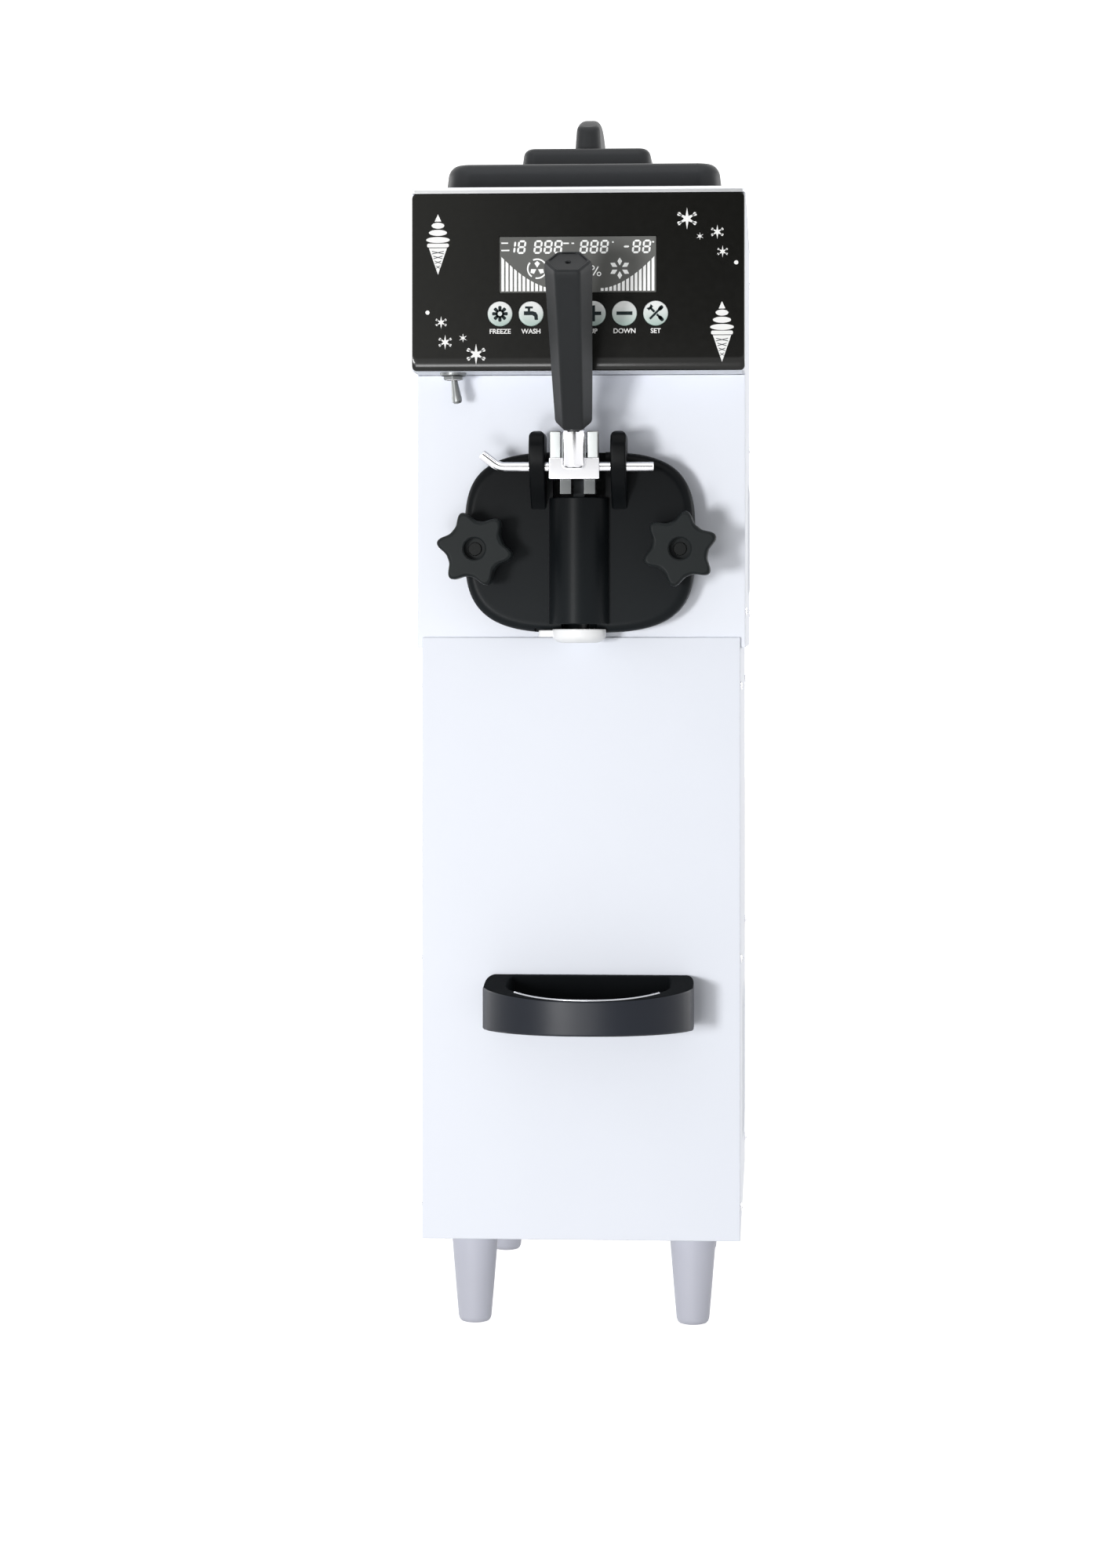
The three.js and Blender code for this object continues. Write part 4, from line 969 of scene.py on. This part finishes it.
def nozzle():
    """Nozzle cup with its locking tab and a star-shaped mouth."""
    z0, z1 = low("nozzle_cap", Z), high("nozzle_cap", Z)
    bowl = in_mm((0, 8.2), (0, 13.5), (0.5, 16.6), (1.9, 19.4), (4, 21), (6, 21.5))
    brim = in_mm((-0.6, 21.5), (0, 20.9), (0, 8.2))
    profile = [(z0 + a, r) for a, r in bowl] + [(z1 + a, r) for a, r in brim]
    cup = turned("nozzle_cup", "z", (0, VALVE_Y, 0), profile, 72, closed=True)
    outline = rounded_rect(-32.2 * MM, -15 * MM, VALVE_Y - 6 * MM, VALVE_Y + 6 * MM, 3 * MM, 6)
    tab = prisms("tab", [outline], "xy", z1 - 6.4 * MM, z1 - 0.8 * MM)
    combine(cup, bake(bevel(tab, 1.2 * MM, 3)), "UNION")
    teeth = []
    for i in range(6):
        tooth = block("tooth", (7.5 * MM, 12.5 * MM), (-1.5 * MM, 1.5 * MM), (z0 - 0.01, z0 + 5 * MM))
        tooth.data.transform(Matrix.Translation((0, VALVE_Y, 0)) @ Matrix.Rotation(i * math.pi / 3, 4, "Z"))
        teeth.append(tooth)
    cut(cup, gathered("teeth", teeth))
    dress(cup, "machine", "white_plastic", ["nozzle_cap"])


def star_knobs():
    """Six-lobed knobs, each with a hub and a stepped hole for its stud."""
    hub_back = BODY_FRONT - 30.3 * MM
    for side, sign, phase in (("left", -1, 50), ("right", 1, 20)):
        node = f"star_knob_{side}"
        cx, cz, front = sign * STUD_X, STUD_Z, low(node, Y)

        def lobes(shrink, y):
            points = []
            for i in range(144):
                a = 2 * math.pi * i / 144
                lobe = a - math.radians(phase)
                r = (25.5 + 3.9 * math.cos(6 * lobe) + 0.8 * math.cos(12 * lobe)) * MM - shrink
                points.append((cx + r * math.cos(a), cz + r * math.sin(a)))
            return lift(points, "xz", y)

        roll = 3.2 * MM
        rings = [lobes(roll * (1 - math.sin(a)), front + roll * (1 - math.cos(a))) for a in quarter(6)]
        rings += [lobes(0, front + 19 * MM), lobes(0.8 * MM, front + 21.4 * MM),
            lobes(2.4 * MM, front + 22 * MM)]
        head = stacked("head", rings, smooth=40)
        profile = [(front + 20 * MM, 0), (front + 20 * MM, 15 * MM), (hub_back - 1 * MM, 13.6 * MM),
            (hub_back, 12.6 * MM), (hub_back, 0)]
        combine(head, turned("hub", "y", (cx, 0, cz), profile, 48), "UNION")
        past = 0.01
        profile = [(front - past, 0), (front - past, 9.6 * MM), (front, 9.6 * MM), (front + 1 * MM, 8.5 * MM),
            (front + 10 * MM, 8.5 * MM), (front + 10 * MM, 5.3 * MM), (hub_back + past, 5.3 * MM),
            (hub_back + past, 0)]
        cut(head, turned("hole", "y", (cx, 0, cz), profile, 48))
        dress(head, f"{side}_knob", "satin_black", [node], "knob_black")


# ---- draw handle
def yoke():
    """Cross plate with its upright stem, two cheeks and two forked tines bolted to it; the cheeks and tines
    carry darker copies of the polished steel as painted shade.
    """
    x, y, z = HANDLE_X, PIVOT_Y, PIVOT_Z

    def side_view(*pairs):
        return [[(y + u, z + v) for u, v in in_mm(*pairs)]]

    plate = prisms("plate", side_view((-13, -10), (6, -10), (6, 7), (-13, 7)), "yz", x - 20 * MM, x + 20 * MM)
    bake(bevel(plate, 1.0 * MM, 3))
    seams = [block("seam", sorted((x + side * 10.5 * MM, x + side * 21 * MM)), (y - 14 * MM, y - 12.3 * MM),
        (z - 0.2 * MM, z + 0.5 * MM)) for side in (-1, 1)]
    cut(plate, *seams)
    foot = Vector((0, BODY_FRONT - GRIP_FOOT[0], GRIP_FOOT[1]))
    lower = [(z + a, r) for a, r in in_mm((-2, 0), (-2, 6.4), (-1.1, 8.3), (1, 9.5))]
    upper = [(foot.z + a, r) for a, r in in_mm((-8, 9.5), (-5, 8.6), (-5, 0))]
    combine(plate, turned("stem", "z", (x, foot.y, 0), lower + upper, 48), "UNION")
    neck = turned("neck", "z", (0, 0, 0), in_mm((-12, 0), (-12, 8.6), (-0.3, 8.4), (-0.3, 0)), 48)
    neck.data.transform(grip_axis())
    combine(plate, neck, "UNION")
    cut(plate, rod("bore", "x", (0, y, z), -0.04, 0.04, 4.3 * MM, 40))
    plate.name = "yoke_plate"
    dress(plate, "draw_handle", "polished_steel", ["draw_yoke"])

    cheek = side_view((-11.5, 6), (4, 6), (-2, 28), (-14, 28))
    tine = side_view((-6, -9), (-6, -21.5), (24, -21.5), (24, -17.3), (12, -17.3), (12, -10.2), (24, -10.2),
        (24, -7.2), (4, -7.2), (4, -9))
    for side, name in ((-1, "left"), (1, "right")):
        for piece, outline, start, end, edge, look in (
                ("cheek", cheek, x + side * 10.2 * MM, x + side * 19.3 * MM, (1.1 * MM, 3), "steel_painted_shade"),
                ("tine", tine, side * 5 * MM, side * 14 * MM, (0.5 * MM, 2), "tine_painted_shade_steel")):
            obj = prisms(f"yoke_{piece}_{name}", outline, "yz", *sorted((start, end)))
            dress(bake(bevel(obj, *edge)), "draw_handle", "polished_steel", ["draw_yoke"], look)


def grip_axis():
    """Where the grip starts and how it leans."""
    foot, head = (Vector((HANDLE_X, BODY_FRONT - ahead, up)) for ahead, up in (GRIP_FOOT, GRIP_HEAD))
    lean = math.atan2(head.y - foot.y, head.z - foot.z)
    return Matrix.Translation(foot) @ Matrix.Rotation(-lean, 4, "X")


def hexagon(radius, z, steps=96):
    """A ring with six flats and softened corners, corners towards +X and -X."""
    ring = []
    for i in range(steps):
        a = 2 * math.pi * i / steps
        folded = a % (math.pi / 3) - math.pi / 6
        reach = min(radius * math.cos(math.pi / 6) / math.cos(folded), radius * 0.975)
        ring.append(Vector((reach * math.cos(a), reach * math.sin(a), z)))
    return ring


def handle_grip():
    """Six-sided tapered grip: rounded foot, rimmed top with a moulded dimple."""
    flats = in_mm((0.0, 8.0), (0.2, 10.5), (1.0, 12.9), (2.6, 14.4), (5.0, 15.1), (40, 16.2), (90, 17.6),
        (139, 18.9), (142.8, 18.9), (144.9, 18.2), (146.0, 17.0), (146.2, 16.2), (145.8, 15.4))
    dimple = in_mm((145.3, 14.2), (145.1, 7.0), (145.0, 2.6), (144.2, 2.0), (142.0, 1.8))
    rings = [hexagon(radius, z) for z, radius in flats]
    rings += [lift(circle(0, 0, radius, 96), "xy", z) for z, radius in dimple]
    obj = stacked("grip_shell", rings, smooth=24)
    obj.data.transform(grip_axis())
    dress(obj, "draw_handle", "charcoal", ["handle_grip"], "grip_black")


def tube(name, path, radius, sides=32):
    """A round bar along a path of points, with slightly rounded ends."""
    rings = []
    count = len(path)
    for i, point in enumerate(path):
        before, after = path[max(i - 1, 0)], path[min(i + 1, count - 1)]
        direction = (after - before).normalized()
        side = direction.cross(Vector((0, 1, 0))).normalized()
        up = side.cross(direction).normalized()
        rings.append([point + radius * (math.cos(a) * side + math.sin(a) * up)
                      for a in (2 * math.pi * k / sides for k in range(sides))])
    obj = stacked(name, rings, smooth=40)
    return bevel(obj, radius * 0.2, 3, 60)


def pivot_pin():
    """Straight bar whose left end bends up."""
    y, z = PIVOT_Y, PIVOT_Z
    straight, bend, tail = -58 * MM, 14 * MM, 12.5 * MM
    path = [Vector((60 * MM, y, z)), Vector((20 * MM, y, z)), Vector((straight, y, z))]
    for i in range(1, 9):
        a = math.radians(PIN_BEND_DEGREES * i / 8)
        path.append(Vector((straight - bend * math.sin(a), y, z + bend * (1 - math.cos(a)))))
    path.append(path[-1] + tail * Vector((-math.cos(a), 0, math.sin(a))))
    dress(tube("pin_bar", path, 4 * MM), "handle_pin", "polished_steel", ["pivot_pin"])


# ---- drip tray
def drip_tray():
    """Hollow tray; its inside and top faces carry a darker matt copy of its plastic as painted shade, and a
    thin bright tube along its lip is a painted highlight.
    """
    (x0, nose, z0), (x1, peg_end, z1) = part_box("drip_tray")
    cx, half = (x0 + x1) / 2, (x1 - x0) / 2
    back = CABINET_FRONT - 0.3 * MM
    slope = 12.5 / 95

    def outline(side, rear, front, z, level):
        """Straight back, bowed front, rounded corners; the rim falls towards the front."""
        side, rear, front = side * MM, rear * MM, front * MM
        hw = half - side
        behind = back - rear
        shoulder = BODY_FRONT - 49 * MM + side * 0.1
        wide = max(6 * MM - rear * 0.25, 3.5 * MM)
        deep = max(27 * MM - rear * 0.5, 20 * MM)
        corner = [(wide * (1 - math.cos(a)), deep * (1 - math.sin(a))) for a in quarter(8)]
        points = [(cx - hw + u, behind - v) for u, v in corner[::-1]]
        steps = 40
        for i in range(steps + 1):
            u = -1 + 2 * i / steps
            bow = (1 - abs(u) ** 2.4) ** 0.75
            points.append((cx + hw * u, shoulder + (nose + front - shoulder) * bow))
        points += [(cx + hw - u, behind - v) for u, v in corner]
        return [Vector((u, v, z if level else z - max(0.0, back - v) * slope)) for u, v in points]

    # insets at the sides, the back and the front in mm, height, and whether that height is level
    levels = ((3, 3, 3, z0, True), (1, 1, 1, z0 + 0.4 * MM, True), (0, 0, 0, z0 + 1.6 * MM, True),
        (0, 0, 0, z0 + 10 * MM, True), (0, 0, 0, z1 - 1.4 * MM, False), (0.4, 0.4, 0.4, z1 - 0.4 * MM, False),
        (1.2, 1.2, 1.2, z1, False), (17, 6, 3.2, z1, False), (18, 7, 4, z1 - 0.5 * MM, False),
        (18.6, 7.6, 4.6, z1 - 2 * MM, False), (20, 9, 6, z0 + 6 * MM, True), (23, 12, 9, z0 + 3 * MM, True))
    obj = stacked("tray_shell", [outline(*settings) for settings in levels], smooth=30)
    pegs = [rod("peg", "y", (cx + u, 0, PEG_Z), back - 0.002, peg_end, 4 * MM, 24) for u in (-0.04, 0.04)]
    body = gathered("tray_body", [obj] + pegs)
    dress(body, "drip_tray", "satin_black", ["drip_tray"], "tray_slate")
    body.data.materials.append(MATERIALS["tray_black"])
    # painted shade: faces that look inward or upward get the darker matt copy
    heart = Vector((cx, (back + nose) / 2, 0))
    for face in body.data.polygons:
        inward = (heart - face.center).xy.dot(face.normal.xy) > 0 and face.center.z > z0 + 2 * MM
        face.material_index = int(inward or face.normal.z > 0.5)
    # painted highlight: a thin bright tube along the front of the opening
    lip = outline(16.5, 6, 2, z1 + 0.1 * MM, False)
    dress(tube("tray_lip_painted_highlight", lip[12:47], 0.9 * MM, 12), "drip_tray", "satin_black", look="rim_highlight")


# ---- studio
def only_seen_by(obj, camera=False, glossy=False):
    obj.visible_camera = camera
    obj.visible_glossy = glossy
    obj.visible_diffuse = obj.visible_shadow = obj.visible_transmission = False


def studio():
    """Pale floor, white surround, two reflection cards, a key from the left, two fills and a low light."""
    floor = block("floor", (-12, 12), (-12, 12), (-0.02, 0))
    floor.data.materials.append(lit("studio_floor", (0.9, 0.9, 0.9), FLOOR_GLOW))
    floor.visible_diffuse = False
    surround = turned("surround", "z", (0, 0, 0), [(-0.1, 11), (9, 11)], 96)
    surround.data.materials.append(lit("studio_surround", (1, 1, 1), 1.0))
    only_seen_by(surround, camera=True, glossy=True)
    card = block("dark_card", (-1.7, 1.5), (-3.7, -3.68), (0.93, 2.7))
    card.data.materials.append(graded_card("card_cloth", -0.5, -0.12))
    only_seen_by(card, glossy=True)
    ceiling = block("top_card", (-1.4, 1.4), (-3.0, -0.4), (2.7, 2.72))
    ceiling.data.materials.append(lit("top_card_cloth", (1, 1, 1), 1.6))
    only_seen_by(ceiling, glossy=True)
    world = bpy.data.worlds.new("studio")
    bpy.context.scene.world = world
    world.use_nodes = True
    background = world.node_tree.nodes["Background"]
    background.inputs["Color"].default_value = (1.0, 1.0, 1.0, 1)
    background.inputs["Strength"].default_value = WORLD_STRENGTH
    add_light("key_left", (-1.25, -3.4, 0.35), (0, -0.15, 0.6), 0.5, KEY_WATTS)
    add_light("fill_right", (2.6, 1.2, 0.9), (0, 0.1, 0.5), 1.6, FILL_WATTS)
    add_light("fill_left", (-2.6, 1.2, 0.9), (0, 0.1, 0.5), 1.6, FILL_WATTS)
    add_light("low_front", (-0.25, -1.7, 0.08), (0, -0.15, 0.5), 0.4, LOW_WATTS)


def add_light(name, place, target, size, watts):
    light = bpy.data.lights.new(name, "AREA")
    light.size = size
    light.energy = watts
    obj = linked(bpy.data.objects.new(name, light))
    obj.location = place
    obj.rotation_euler = (Vector(target) - Vector(place)).to_track_quat("-Z", "Y").to_euler()


def camera():
    """Level camera in front of the body's face, a little to the right, its lens shifted down."""
    data = bpy.data.cameras.new("camera")
    data.sensor_width = 36
    data.lens = LENS_MM
    data.shift_y = LENS_SHIFT
    obj = linked(bpy.data.objects.new("camera", data))
    obj.location = (CAMERA_SIDE, BODY_FRONT - CAMERA_DISTANCE, CAMERA_HEIGHT)
    yaw = math.atan2(CAMERA_SIDE - CAMERA_AIM_X, CAMERA_DISTANCE)
    obj.rotation_euler = (math.pi / 2, 0, yaw)
    bpy.context.scene.camera = obj


camera()
studio()
bpy.context.scene.view_settings.view_transform = "Standard"
dress_cad_nodes()
casing_details()
top_deck()
legs()
fascia()
decals()
display()
buttons()
toggle()
lid()
door()
nozzle()
star_knobs()
yoke()
handle_grip()
pivot_pin()
drip_tray()
